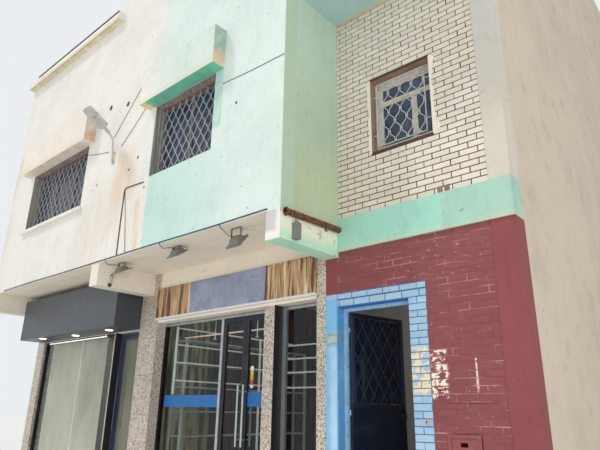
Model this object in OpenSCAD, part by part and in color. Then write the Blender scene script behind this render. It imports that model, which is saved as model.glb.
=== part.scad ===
// Corner shop building in a terraced street: two shops and a house entrance on the ground floor,
// a first floor that is cantilevered over the shops, a recessed bay over the entrance,
// a parapet-walled terrace on the left and one more storey on the right.
// X runs along the front to the right, Y into the building, Z up, in millimetres.
// The origin is at the middle of the footprint, on the pavement.

/* [Footprint] */
// Whole width between the two party lines
total_w = 10320; // [9800:10:11000]
// Depth of the ground floor, front face to rear face
ground_d = 8000; // [7000:10:9000]
// How far the upper floors project over the shops
cantilever = 1076; // [900:1:1200]
// Width of the recessed bay over the entrance
bay_w = 2223; // [2150:1:2400]
// Width of the taller part of the front, recessed bay included
tall_w = 6500; // [6200:1:6700]
// Thickness of the front walls
front_t = 220; // [200:5:260]
// Thickness of the party walls and the return wall
party_t = 200; // [160:5:240]

/* [Levels] */
// Top of the ground slab
floor_0 = 120; // [60:5:200]
// Underside of the first floor
soffit_1 = 3580; // [3500:5:3700]
// Storey height above the ground floor
storey = 3120; // [3050:5:3200]
// Thickness of the upper slabs
slab_t = 220; // [180:5:260]
// Top of the terrace parapet, without its coping
parapet_1 = 8405; // [8200:5:8600]
// Height of the roof parapet above the roof slab
roof_parapet_h = 860; // [700:5:1100]
// Height of a coping
coping_h = 190; // [150:5:220]
// How far a coping stands out from the wall
coping_out = 120; // [80:5:140]

/* [Beams] */
// Depth of the cantilever beams below the soffit
beam_h = 354; // [300:1:400]
// Width of a cantilever beam
beam_w = 230; // [200:1:260]
// Right edge of the middle beam
beam_mid_x = -990; // [-1050:1:-950]

/* [Front windows] */
// Left edge of the wide window
win_l_x = -4185; // [-4250:1:-4100]
// Width of the wide window
win_l_w = 2236; // [2100:1:2300]
// Left edge of the narrower window
win_r_x = 143; // [100:1:200]
// Width of the narrower window
win_r_w = 1452; // [1400:1:1500]
// Height of the window foot above the floor underside
win_sill = 1165; // [1100:5:1250]
// Height of a front window
win_h = 1215; // [1150:5:1240]
// Depth of the window frame behind the wall face
win_in = 170; // [120:5:170]
// How far a hood stands out from the wall
hood_out = 207; // [180:1:240]
// Height of a hood
hood_h = 630; // [560:5:680]
// Width of a frame bar
frame_w = 50; // [40:1:60]
// Depth of a window frame
frame_d = 50; // [40:1:60]

/* [Bay] */
// Left edge of the bay window
bay_win_x = 3490; // [3450:1:3550]
// Width of the bay window
bay_win_w = 841; // [800:1:880]
// Height of the bay window foot
bay_win_z = 4508; // [4450:1:4600]
// Height of the bay window
bay_win_h = 1030; // [980:1:1080]
// Depth of the bay window frame behind the wall face
bay_win_in = 110; // [80:5:130]
// Foot of the bay window's transom above the window foot
bay_transom_z = 664; // [600:1:720]
// Height of the transom
bay_transom_h = 71; // [60:1:80]
// Left edge of the mullion, from the window's left edge
bay_mullion_x = 522; // [480:1:560]
// Width of the plain pier at the right of the bay
bay_pier_w = 239; // [220:1:260]
// Foot of the painted band
band_z = 3290; // [3250:1:3350]
// Height of the painted band
band_h = 430; // [400:1:450]
// How far the painted band stands out
band_out = 30; // [15:1:40]

/* [Entrance] */
// Left edge of the doorway
door_x = 2916; // [2900:1:2930]
// Width of the doorway
door_w = 978; // [940:1:1000]
// Head of the doorway
door_top = 2600; // [2550:5:2700]
// Width of the plain pier at the right of the entrance
entrance_pier_w = 269; // [240:1:290]
// Thickness of the steel door leaf
leaf_t = 40; // [36:1:44]
// Angle at which the steel door stands open
leaf_open = 78; // [70:1:85]
// Foot of the door's middle rail
rail_z = 1436; // [1380:1:1500]
// Height of the door's middle rail
rail_h = 58; // [50:1:70]
// Width of one diamond of the door grille
diamond_w = 170; // [140:1:200]
// Height of one diamond of the door grille
diamond_h = 270; // [230:1:300]
// Depth of the door leaf behind the wall face
leaf_in = 127; // [120:1:135]
// Left edge of the meter cupboard
hatch_x = 4256; // [4200:1:4300]
// Width of the meter cupboard
hatch_w = 349; // [320:1:380]
// Foot of the meter cupboard
hatch_z = 720; // [650:5:800]
// Height of the meter cupboard
hatch_h = 497; // [450:1:540]

/* [Shops] */
// Right edge of the left pier
left_pier_x = -4860; // [-4900:1:-4820]
// Left edge of the middle pier
mid_pier_x = -1322; // [-1350:1:-1300]
// Width of the middle pier
mid_pier_w = 506; // [480:1:540]
// Left edge of the slim post
slim_x = 1674; // [1650:1:1700]
// Width of the slim post
slim_w = 190; // [170:1:210]
// Width of the pier between shop and entrance
right_pier_w = 146; // [130:1:160]
// Head of the left shop opening
left_head = 2690; // [2600:5:2750]
// Head of the right shop opening
right_head = 2750; // [2700:5:2800]
// Left edge of the recessed left shop door
left_door_x = -2135; // [-2160:1:-2100]
// Depth of the shop glass behind the wall face
glass_in = 193; // [180:1:200]
// Left edge of the right shop's pair of doors
pair_x = 605; // [580:1:630]
// Width of an aluminium shop frame bar
bar_w = 50; // [40:1:60]
// Thickness of shop glass
glass_t = 10; // [8:1:12]

/* [Signs and lamps] */
// Left edge of the sign box
sign_box_x = -4895; // [-4930:1:-4860]
// How far the sign box stands out
sign_box_out = 497; // [450:1:520]
// Top of the sign box
sign_box_top = 3480; // [3440:5:3500]
// Foot of the right sign board
sign_board_z = 2786; // [2770:1:2800]
// Height of the right sign board
sign_board_h = 520; // [480:5:560]
// Foot of the street lamp pole
lamp_z = 5300; // [5200:10:5400]
// Tilt of the street lamp arm and head above level
lamp_tilt = 31; // [20:1:40]
// Length of the street lamp head
lamp_len = 420; // [380:5:450]
// Width of the street lamp head
lamp_w = 250; // [220:5:280]
// Width of a floodlight
flood_w = 253; // [220:1:280]
// Length of a floodlight from its front edge to its back edge
flood_l = 217; // [180:1:240]
// Diameter of the drain pipe on the return wall
pipe_d = 76; // [60:1:100]

/* [Hidden] */
$fn = 32;
// Overlap of pieces that are joined, and of cutters past a face
bite = 1;
// Play between pieces that only touch
slack = 0.2;
x0 = -total_w / 2;
x1 = total_w / 2;
y0 = -ground_d / 2;
y1 = ground_d / 2;
yf = y0 - cantilever;
yi = y0 + front_t;
yfi = yf + front_t;
yri = y1 - front_t;
corner_x = x1 - bay_w;
tall_x = x1 - tall_w;
floor_1 = soffit_1 + slab_t;
soffit_2 = soffit_1 + storey;
floor_2 = soffit_2 + slab_t;
soffit_3 = soffit_2 + storey;
roof_z = soffit_3 + slab_t;
roof_top = roof_z + roof_parapet_h;

// Copings: how far they reach in, their drip groove and the slope of their nose
coping_in = 30;
drip_w = 16;
drip_d = 14;
nose = 22;

// Windows of the upper floors, each with its left edge, foot, width and number of sashes
win_z1 = soffit_1 + win_sill;
win_z2 = soffit_2 + win_sill;
rear_win_x = 1000;
rear_win_left_x = -3800;
front_windows = [
    [win_l_x, win_z1, win_l_w, 3], [win_r_x, win_z1, win_r_w, 2], [win_r_x, win_z2, win_r_w, 2]
];
rear_windows = [
    [rear_win_left_x, win_z1, win_r_w, 2], [rear_win_x, win_z1, win_r_w, 2], [rear_win_x, win_z2, win_r_w, 2]
];
pane_t = 6;
hood_lap = 166;
sill_out = 60;
sill_h = 60;
sill_lap = [100, 60];

// Bay window: widths of its rims and the panes that they leave, as left, foot, right and top
bay_rim_left = 106;
bay_rim_right = 61;
bay_rim_foot = 92;
bay_rim_head = 125;
bay_mullion_w = 72;
bay_lights = [
    [bay_rim_left, bay_rim_foot, bay_mullion_x, bay_transom_z],
    [bay_mullion_x + bay_mullion_w, bay_rim_foot, bay_win_w - bay_rim_right, bay_transom_z],
    [bay_rim_left, bay_transom_z + bay_transom_h, bay_win_w - bay_rim_right, bay_win_h - bay_rim_head]
];
sash_rim = 26;
sash_step = 12;
pier_out = 12;

// Steel door: frame, leaf, hinges, lock and grille
door_frame_w = 40;
door_gap = 5;
leaf_w = door_w - 2 * door_frame_w - 3 * door_gap;
leaf_foot = floor_0 + 2 * door_gap;
leaf_h = door_top - door_frame_w - leaf_foot - 7;
leaf_tube = 40;
sheet_t = 6;
field_in = 70;
field_t = 16;
grille_bar = 12;
grille_t = 12;
knot_w = 30;
knot_h = 18;
knuckle_d = 16;
knuckle_h = 55;
knuckle_out = knuckle_d / 2 + 1;
flap_w = 36;
flap_t = 4;
hinge_zs = [180, 1180, 2130];
hinge_x = door_x + door_frame_w + door_gap / 2;
hinge_y = y0 + leaf_in + leaf_t + knuckle_out;
lock_z = 1190;
lock_w = 90;
lock_h = 80;
lock_t = 16;
lever_z = 1230;
lever_d = 16;
lever_out = 42;
lever_len = 110;
grille_w = leaf_w - 2 * leaf_tube;
grille_foot = rail_z + rail_h - leaf_foot;
grille_h = leaf_h - leaf_tube - grille_foot;

// Meter cupboard
hatch_gap = 5;
hatch_t = 18;
hatch_lap = 4;
hatch_deep = 160;
hatch_rim = 37;
hatch_step = 8;
slot_x = 4385;
slot_z = 1098;
slot_w = 75;
slot_h = 40;

// Shopfronts
glass_y = y0 + glass_in;
left_glass_y = y0 + 40;
shop_frame_d = 60;
glass_joint_x = -3206;
glass_joint_w = 6;
pair_w = slim_x - pair_x;
leaf_bar = 60;
shop_leaf_t = 40;
play = 7;
left_leaf_w = mid_pier_x - left_door_x - 2 * bar_w - 2 * play;
left_leaf_h = left_head - floor_0 - 2 * bar_w - 2 * play;
pair_leaf_w = (pair_w - 2 * bar_w - 3 * play) / 2;
pair_leaf_h = right_head - floor_0 - 2 * bar_w - 2 * play;
pull_in = 50;
pull_out = 62;
pull_d = 30;
pull_stub_d = 16;
pull_stub_z = 90;
left_pull = [900, 880];
pair_pull = [760, 800];
partition_x = -1170;
hall_t = 160;
right_pier_x = corner_x - party_t - right_pier_w;
mid_pier_end = mid_pier_x + mid_pier_w;
slim_end = slim_x + slim_w;
left_pane_y = left_glass_y + (shop_frame_d - glass_t) / 2;
left_panes = [
    [left_pier_x + bar_w, glass_joint_x], [glass_joint_x + glass_joint_w, left_door_x - bar_w]
];
right_panes = [[mid_pier_end + bar_w, pair_x], [slim_end + bar_w, right_pier_x - bar_w]];

// Shelves
shelf_d = 350;
shelf_t = 20;
shelf_y = [yi + 300, yi + 3300];
shelf_z = [for (k = [0 : 5]) 600 + k * 380];
upright_w = 40;

// Signs
sign_sheet_t = 30;
sign_board_t = 50;
sign_rim = 25;
sign_rim_out = 8;

// Street lamp: its rod leans out, bends and ends in a neck with a flat head
rod_d = 32;
rod_lean = 6;
rod_len = 376;
rod_bend_r = 214;
neck_d = 58;
neck_len = 135;
head_t = 30;
head_cut = 40;
driver_w = 190;
driver_len = 150;
driver_t = 74;
sensor_d = 36;
sensor_z = 200;

// Floodlights, each with its middle, the height of its front edge and its tilt
flood_y = yf + 146;
floods = [[-696, 3397, 26], [740, 3402, 35], [2006, 3310, 51]];
flood_rim_t = 20;
flood_rim_w = 14;
flood_back_w = 170;
flood_back_l = 170;
flood_back_t = 58;
flood_taper = 0.62;
stirrup_w = 180;
stirrup_t = 5;
stirrup_d = 26;

// Meter box and drain pipe on the corner
meter_y = yf + 199;
meter_z = 3255;
meter_w = 85;
meter_h = 195;
meter_out = 70;
lug_d = 24;
pipe_y = [yf + 36, y0 - band_out - 3];
pipe_z = [3545, 3570];
pipe_wall = 5;
clip_ys = [yf + 60, yf + 800];
clip_w = 24;

// Cables clipped to the front, each with its radius and the points along it
sides = 8;
thick = 8;
thin = 4;
edge_z = 3604;
ty = yf - thick;
ny = yf - thin;
flood_depth = flood_rim_t + flood_back_t + 2 * thin;
function flood_back(f) = [f[0],
    flood_y + cos(f[2]) * flood_l / 2 - sin(f[2]) * flood_depth,
    f[1] + sin(f[2]) * flood_l / 2 + cos(f[2]) * flood_depth];
cables = [
    [thick, [[-4650, ty, edge_z - 6], [-3400, ty, edge_z + 3], [-2100, ty, edge_z - 4], [-900, ty, edge_z],
        [400, ty, edge_z + 5], [1700, ty, edge_z - 4], [2728, ty, edge_z + 4]]],
    [thick, [[27, ty, 4690], [-120, ty, 4698], [-440, ty, 4716], [-480, ty, 4704], [-496, ty, 4670],
        [-500, ty, 4200], [-494, ty, 3622]]],
    [thin, [[-480, ny, 4660], [-410, ny, 4350], [-330, ny, 3950], [-264, ny, 3622]]],
    [thin, [[-1940, ny, 5761], [-1560, ny, 5660], [-1193, ny, 5587]]],
    [thin, [[1770, ny, 5700], [2350, ny, 5662], [corner_x - 6, ny, 5645]]],
    [thin, [[-1077, ny, 5820], [-700, ny, 6200], [-307, ny, 6597], [-60, yf - 120, 6605],
        [60, yf - 190, win_z1 + win_h + hood_h + thin], [900, yf - 190, win_z1 + win_h + hood_h + thin],
        [1700, yf - 190, win_z1 + win_h + hood_h + thin]]],
    [thin, [[-787, ny, 5558], [-400, ny, 5862], [-27, ny, 6169]]],
    for (f = floods) [thin + 1, [[f[0] - 110, ty, edge_z - 14], [f[0] - 96, ty, 3560],
        [f[0] - 70, yf + 30, 3520], [f[0] - 30, flood_back(f)[1] - 60, flood_back(f)[2] + 10], flood_back(f)]]
];

// A box between two corners
module block(ax, bx, ay, by, az, bz) {
    translate([ax, ay, az]) cube([bx - ax, by - ay, bz - az]);
}

// A frame of bars round an opening w by h, depth d, with its lower left corner at the origin
module ring(w, h, d, bar) {
    difference() {
        cube([w, d, h]);
        translate([bar, -bite, bar]) cube([w - 2 * bar, d + 2 * bite, h - 2 * bar]);
    }
}

// Slabs
module ground_slab() {
    color("darkgray") block(x0, x1, y0, y1, 0, floor_0);
}

module first_floor_slab() {
    color("linen") translate([0, 0, soffit_1]) linear_extrude(slab_t) polygon([
        [x0 + party_t, yfi], [corner_x - party_t, yfi], [corner_x - party_t, yi],
        [x1 - party_t, yi], [x1 - party_t, yri], [x0 + party_t, yri]
    ]);
}

module second_floor_slab() {
    color("linen") block(x0 + party_t, x1 - party_t, yfi, yri, soffit_2, floor_2);
}

module roof_slab() {
    color("linen") block(tall_x + party_t, x1 - party_t, yfi, yri, soffit_3, roof_z);
}

// Cantilever beams, flush with the front and the return wall
module beam(right_edge) {
    block(right_edge - beam_w, right_edge, yf, y0, soffit_1 - beam_h, soffit_1);
}

module beam_left() {
    color("linen") beam(x0 + beam_w);
}

module beam_middle() {
    color("linen") beam(beam_mid_x);
}

module beam_right() {
    color("palegreen") beam(corner_x);
}

// Front walls
module front_hole(x, z, w, h, y = yf) {
    translate([x, y - bite, z]) cube([w, front_t + 2 * bite, h]);
}

module facade_left() {
    color("whitesmoke") difference() {
        block(x0, tall_x, yf, yfi, soffit_1, parapet_1);
        front_hole(win_l_x, win_z1, win_l_w, win_h);
    }
}

module facade_right() {
    color("honeydew") difference() {
        block(tall_x, corner_x, yf, yfi, soffit_1, soffit_2);
        front_hole(win_r_x, win_z1, win_r_w, win_h);
    }
}

module facade_second() {
    color("honeydew") difference() {
        block(tall_x, x1, yf, yfi, soffit_2, roof_top);
        front_hole(win_r_x, win_z2, win_r_w, win_h);
        front_hole(bay_win_x, bay_win_z + storey, bay_win_w, bay_win_h);
    }
}

module return_wall() {
    color("darkseagreen") block(corner_x - party_t, corner_x, yfi, y0, soffit_1, soffit_2);
}

// Recessed bay
module recess_wall() {
    color("antiquewhite") difference() {
        block(corner_x - party_t, x1 - bay_pier_w, y0, yi, band_z + band_h, soffit_2);
        front_hole(bay_win_x, bay_win_z, bay_win_w, bay_win_h, y0);
    }
}

module recess_pier() {
    color("linen") block(x1 - bay_pier_w, x1, y0 - pier_out, yi, band_z + band_h, soffit_2);
}

module painted_band() {
    color("mediumaquamarine") {
        block(corner_x - party_t, x1, y0, yi, band_z, band_z + band_h);
        block(corner_x, x1, y0 - band_out, y0 + bite, band_z, band_z + band_h);
    }
}

// Ground floor walls round the entrance
module entrance_wall_left() {
    color("steelblue") block(corner_x - party_t, door_x, y0, yi, floor_0, band_z);
}

module entrance_wall_over() {
    color("brown") block(door_x, door_x + door_w, y0, yi, door_top, band_z);
}

// The meter cupboard is a space between four lengths of wall, closed by a plate at its back
module entrance_wall_right() {
    in_x = hatch_x + slack;
    in_x_end = hatch_x + hatch_w - slack;
    hatch_top = hatch_z + hatch_h;
    color("brown") {
        block(door_x + door_w, hatch_x, y0, yi, floor_0, band_z);
        block(hatch_x + hatch_w, x1 - entrance_pier_w, y0, yi, floor_0, band_z);
        block(in_x, in_x_end, y0, yi, floor_0, hatch_z);
        block(in_x, in_x_end, y0, yi, hatch_top, band_z);
        block(in_x, in_x_end, y0 + hatch_deep, yi, hatch_z + slack, hatch_top - slack);
    }
}

module entrance_pier() {
    color("brown") block(x1 - entrance_pier_w, x1, y0 - pier_out, yi, floor_0, band_z);
}

// Granite clad piers and the walls over the shop openings
module left_pier() {
    color("tan") block(x0, left_pier_x, y0, yi, floor_0, soffit_1);
}

module middle_pier() {
    color("tan") block(mid_pier_x, mid_pier_end, y0, yi, floor_0, soffit_1);
}

module slim_post() {
    color("tan") block(slim_x, slim_end, y0, yi, floor_0, right_head);
}

module right_pier() {
    color("tan") block(right_pier_x, corner_x - party_t, y0, yi, floor_0, soffit_1);
}

module left_shop_lintel() {
    color("linen") block(left_pier_x, mid_pier_x, y0, yi, left_head, soffit_1);
}

module right_shop_lintel() {
    color("linen") block(mid_pier_end, right_pier_x, y0, yi, right_head, soffit_1);
}

// Party walls, L-shaped seen from the side because the upper floors project
module party_wall(step_z, top) {
    rotate([90, 0, 90]) linear_extrude(party_t) polygon([
        [yi, floor_0], [y1, floor_0], [y1, top], [yfi, top], [yfi, step_z], [yi, step_z]
    ]);
}

module party_wall_left() {
    color("wheat") translate([x0, 0, 0]) party_wall(soffit_1, parapet_1);
}

module party_wall_right() {
    color("wheat") translate([x1 - party_t, 0, 0]) party_wall(soffit_2, roof_top);
}

module rear_wall_left() {
    color("whitesmoke") difference() {
        block(x0 + party_t, tall_x + party_t, yri, y1, floor_0, parapet_1);
        front_hole(rear_win_left_x, win_z1, win_r_w, win_h, yri);
    }
}

module rear_wall_right() {
    color("whitesmoke") difference() {
        block(tall_x + party_t, x1 - party_t, yri, y1, floor_0, roof_top);
        for (z = [win_z1, win_z2]) front_hole(rear_win_x, z, win_r_w, win_h, yri);
    }
}

module terrace_side_wall() {
    color("whitesmoke") block(tall_x, tall_x + party_t, yfi, yri, floor_2, roof_top);
}

module shop_partition() {
    color("silver") block(partition_x, partition_x + party_t, yi, yri, floor_0, soffit_1);
}

module hall_partition() {
    color("silver") block(corner_x - party_t, corner_x - party_t + hall_t, yi, yri, floor_0, soffit_1);
}

// Copings with a sloping nose and a drip groove under it, hoods and the sill
module coping(ax, bx, z) {
    translate([ax, yf, z]) rotate([90, 0, 90]) linear_extrude(bx - ax) polygon([
        [front_t + coping_in, 0], [front_t + coping_in, coping_h], [nose - coping_out, coping_h],
        [-coping_out, coping_h - nose], [-coping_out, 0], [-coping_out + drip_w, 0],
        [-coping_out + drip_w, drip_d], [-coping_out + 2 * drip_w, drip_d], [-coping_out + 2 * drip_w, 0]
    ]);
}

module parapet_coping() {
    color("whitesmoke") coping(x0, tall_x, parapet_1);
}

module roof_coping() {
    color("honeydew") coping(tall_x, x1, roof_top);
}

module hood(x, w, z) {
    block(x - hood_lap, x + w + hood_lap, yf - hood_out, yf, z + win_h, z + win_h + hood_h);
}

module hood_left() {
    color("whitesmoke") hood(win_l_x, win_l_w, win_z1);
}

module hood_right() {
    color("mediumaquamarine") hood(win_r_x, win_r_w, win_z1);
}

module hood_second() {
    color("mediumaquamarine") hood(win_r_x, win_r_w, win_z2);
}

module window_sill() {
    color("whitesmoke") block(win_l_x - sill_lap[0], win_l_x + win_l_w + sill_lap[1],
        yf - sill_out, yf, win_z1 - sill_h, win_z1);
}

// Window frames with bars between their sashes, and the panes between the bars
module window_frame(w, sashes) {
    ring(w, win_h, frame_d, frame_w);
    for (i = [1 : sashes - 1])
        translate([w * i / sashes - frame_w / 2, 0, frame_w - bite])
            cube([frame_w, frame_d, win_h - 2 * (frame_w - bite)]);
}

module window_panes(w, sashes) {
    for (i = [0 : sashes - 1]) {
        left = (i == 0 ? frame_w : w * i / sashes + frame_w / 2) + slack;
        right = (i == sashes - 1 ? w - frame_w : w * (i + 1) / sashes - frame_w / 2) - slack;
        translate([left, frame_d / 2, frame_w]) cube([right - left, pane_t, win_h - 2 * frame_w]);
    }
}

module window_frames() {
    color("lightgray") {
        for (w = front_windows) translate([w[0], yf + win_in, w[1]]) window_frame(w[2], w[3]);
        for (w = rear_windows) translate([w[0], yri, w[1]]) window_frame(w[2], w[3]);
    }
}

module window_glass() {
    color("slategray") {
        for (w = front_windows) translate([w[0], yf + win_in, w[1]]) window_panes(w[2], w[3]);
        for (w = rear_windows) translate([w[0], yri, w[1]]) window_panes(w[2], w[3]);
        place_bay_windows() for (p = bay_lights)
            block(p[0], p[2], frame_d / 2, frame_d / 2 + pane_t, p[1], p[3]);
    }
}

// The bay windows, with a fixed light over two casements whose rims lie back in the frame
module place_bay_windows() {
    translate([bay_win_x, y0 + bay_win_in, bay_win_z]) children();
    translate([bay_win_x, yf + bay_win_in, bay_win_z + storey]) children();
}

module bay_frame() {
    difference() {
        cube([bay_win_w, frame_d, bay_win_h]);
        for (p = bay_lights) {
            block(p[0], p[2], -bite, frame_d + bite, p[1], p[3]);
            block(p[0] - sash_rim, p[2] + sash_rim, -bite, sash_step,
                p[1] - sash_rim, p[3] + sash_rim);
        }
    }
}

module bay_window_frame() {
    color("burlywood") place_bay_windows() bay_frame();
}

// Signs
module sign_box() {
    color("dimgray") difference() {
        block(sign_box_x, mid_pier_x, y0 - sign_box_out, y0, left_head, sign_box_top);
        block(sign_box_x + sign_sheet_t, mid_pier_x - sign_sheet_t,
            y0 - sign_box_out + sign_sheet_t, y0 + bite,
            left_head + sign_sheet_t, sign_box_top - sign_sheet_t);
    }
}

module sign_board() {
    color("lightsteelblue") {
        block(mid_pier_end, right_pier_x, y0 - sign_board_t, y0, sign_board_z, sign_board_z + sign_board_h);
        translate([mid_pier_end, y0 - sign_board_t - sign_rim_out, sign_board_z])
            ring(right_pier_x - mid_pier_end, sign_board_h, sign_rim_out + bite, sign_rim);
    }
}

// Left shop window, its door in a recess beside the middle pier
module left_shop_frame() {
    color("black") {
        translate([left_pier_x, left_glass_y, floor_0])
            ring(left_door_x - left_pier_x, left_head - floor_0, shop_frame_d, bar_w);
        translate([left_door_x, glass_y - shop_frame_d / 2, floor_0])
            ring(mid_pier_x - left_door_x, left_head - floor_0, shop_frame_d, bar_w);
        block(left_door_x - bar_w, left_door_x, left_glass_y + shop_frame_d - bite,
            glass_y + shop_frame_d / 2, floor_0, left_head);
    }
}

module right_shop_frame() {
    color("silver") {
        translate([mid_pier_end, glass_y - shop_frame_d / 2, floor_0])
            ring(pair_x - mid_pier_end + bar_w, right_head - floor_0, shop_frame_d, bar_w);
        translate([pair_x, glass_y - shop_frame_d / 2, floor_0])
            ring(pair_w, right_head - floor_0, shop_frame_d, bar_w);
        translate([slim_end, glass_y - shop_frame_d / 2, floor_0])
            ring(right_pier_x - slim_end, right_head - floor_0, shop_frame_d, bar_w);
    }
}

module shop_glass() {
    color("lightblue") {
        for (x = left_panes)
            block(x[0], x[1], left_pane_y, left_pane_y + glass_t, floor_0 + bar_w, left_head - bar_w);
        for (x = right_panes)
            block(x[0], x[1], glass_y - glass_t / 2, glass_y + glass_t / 2,
                floor_0 + bar_w, right_head - bar_w);
    }
}

// A glazed leaf w by h with its lower left corner at the origin, its pane and its pull handles
module shop_leaf(w, h) {
    ring(w, h, shop_leaf_t, leaf_bar);
}

module shop_leaf_pane(w, h) {
    translate([leaf_bar, (shop_leaf_t - glass_t) / 2, leaf_bar])
        cube([w - 2 * leaf_bar, glass_t, h - 2 * leaf_bar]);
}

module pull_handles(x, foot, h) {
    for (y = [-pull_out, shop_leaf_t + pull_out])
        translate([x, y, foot]) cylinder(d = pull_d, h = h);
    for (z = [pull_stub_z, h - pull_stub_z])
        translate([x, -pull_out, foot + z]) rotate([-90, 0, 0])
            cylinder(d = pull_stub_d, h = shop_leaf_t + 2 * pull_out);
}

module place_left_leaf() {
    translate([left_door_x + bar_w + play, glass_y - shop_leaf_t / 2, floor_0 + bar_w + play]) children();
}

module left_shop_door() {
    color("darkslateblue") place_left_leaf() {
        shop_leaf(left_leaf_w, left_leaf_h);
        pull_handles(pull_in, left_pull[0], left_pull[1]);
    }
}

module left_shop_door_glass() {
    color("lightblue") place_left_leaf() shop_leaf_pane(left_leaf_w, left_leaf_h);
}

module place_pair_leaf(side) {
    translate([pair_x + bar_w + play + side * (pair_leaf_w + play), glass_y - shop_leaf_t / 2,
        floor_0 + bar_w + play]) children();
}

module pair_door_left() {
    color("silver") place_pair_leaf(0) {
        shop_leaf(pair_leaf_w, pair_leaf_h);
        pull_handles(pair_leaf_w - pull_in, pair_pull[0], pair_pull[1]);
    }
}

module pair_door_left_glass() {
    color("lightblue") place_pair_leaf(0) shop_leaf_pane(pair_leaf_w, pair_leaf_h);
}

module pair_door_right() {
    color("silver") place_pair_leaf(1) {
        shop_leaf(pair_leaf_w, pair_leaf_h);
        pull_handles(pull_in, pair_pull[0], pair_pull[1]);
    }
}

module pair_door_right_glass() {
    color("lightblue") place_pair_leaf(1) shop_leaf_pane(pair_leaf_w, pair_leaf_h);
}

// Entrance frame on three sides, with the upper knuckle of each hinge
module entrance_frame() {
    color("steelblue") {
        for (x = [door_x, door_x + door_w - door_frame_w])
            block(x, x + door_frame_w, y0 + leaf_in, y0 + leaf_in + leaf_t, floor_0, door_top);
        block(door_x, door_x + door_w, y0 + leaf_in, y0 + leaf_in + leaf_t,
            door_top - door_frame_w, door_top);
        for (z = hinge_zs) translate([hinge_x, hinge_y, leaf_foot + z + knuckle_h + 2 * bite]) {
            cylinder(d = knuckle_d, h = knuckle_h);
            translate([-flap_w, -knuckle_out, 0]) cube([flap_w, flap_t, knuckle_h]);
        }
    }
}

// The steel leaf stands open. In its own frame X runs from the hinge side to the lock,
// Y from the street face at minus leaf_t to the inner face at 0, and Z up from its foot.
module place_leaf() {
    translate([hinge_x, hinge_y, leaf_foot]) rotate(leaf_open)
        translate([door_gap / 2, -knuckle_out, 0]) children();
}

// Bars in both slopes that cross in diamonds, with a short welded plate on each crossing
module diamond_pattern() {
    slope = atan(diamond_w / diamond_h);
    columns = ceil(grille_w / diamond_w);
    rows = ceil(grille_h / diamond_h);
    intersection() {
        square([grille_w, grille_h]);
        translate([grille_w / 2, grille_h / 2]) {
            for (k = [-columns : columns], way = [-1, 1])
                translate([k * diamond_w, 0]) rotate(way * slope)
                    square([grille_bar, 2 * grille_h], center = true);
            for (k = [-columns : columns], m = [-rows : rows])
                if ((k + m) % 2 == 0) translate([k * diamond_w / 2, m * diamond_h / 2])
                    square([knot_w, knot_h], center = true);
        }
    }
}

module leaf_frame() {
    translate([0, -leaf_t, 0]) {
        ring(leaf_w, leaf_h, leaf_t, leaf_tube);
        translate([leaf_tube - bite, 0, rail_z - leaf_foot])
            cube([leaf_w - 2 * (leaf_tube - bite), leaf_t, rail_h]);
        translate([leaf_tube - bite, (leaf_t - sheet_t) / 2, leaf_tube - bite])
            cube([leaf_w - 2 * (leaf_tube - bite), sheet_t, rail_z - leaf_foot - leaf_tube + 2 * bite]);
        translate([leaf_tube + field_in, (leaf_t - field_t) / 2, leaf_tube + field_in])
            cube([grille_w - 2 * field_in, field_t, rail_z - leaf_foot - leaf_tube - 2 * field_in]);
    }
}

module leaf_lock() {
    translate([leaf_w - lock_w - door_gap, -leaf_t - lock_t, lock_z]) cube([lock_w, lock_t + bite, lock_h]);
    translate([leaf_w - lock_w / 2, -leaf_t - lever_out, lever_z]) rotate([-90, 0, 0])
        cylinder(d = lever_d, h = leaf_t + 2 * lever_out);
    for (y = [-leaf_t - lever_out, lever_out])
        translate([leaf_w - lock_w / 2, y, lever_z]) rotate([0, -90, 0]) cylinder(d = lever_d, h = lever_len);
}

module entrance_door() {
    color("midnightblue") place_leaf() {
        leaf_frame();
        translate([leaf_tube, (grille_t - leaf_t) / 2, grille_foot]) rotate([90, 0, 0])
            linear_extrude(grille_t) diamond_pattern();
        leaf_lock();
        for (z = hinge_zs) translate([-door_gap / 2, 0, z]) {
            translate([0, knuckle_out, 0]) cylinder(d = knuckle_d, h = knuckle_h);
            cube([flap_w, flap_t, knuckle_h]);
        }
    }
}

// The cover of the meter cupboard, with a raised rim and a reading slot
module meter_hatch() {
    color("brown") difference() {
        block(hatch_x + hatch_gap, hatch_x + hatch_w - hatch_gap, y0 - hatch_t + hatch_lap, y0 + hatch_lap,
            hatch_z + hatch_gap, hatch_z + hatch_h - hatch_gap);
        block(hatch_x + hatch_rim, hatch_x + hatch_w - hatch_rim,
            y0 - hatch_t, y0 - hatch_t + hatch_lap + hatch_step,
            hatch_z + hatch_rim, hatch_z + hatch_h - hatch_rim);
        block(slot_x, slot_x + slot_w, y0 - hatch_t, y0 + hatch_t, slot_z, slot_z + slot_h);
    }
}

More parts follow.
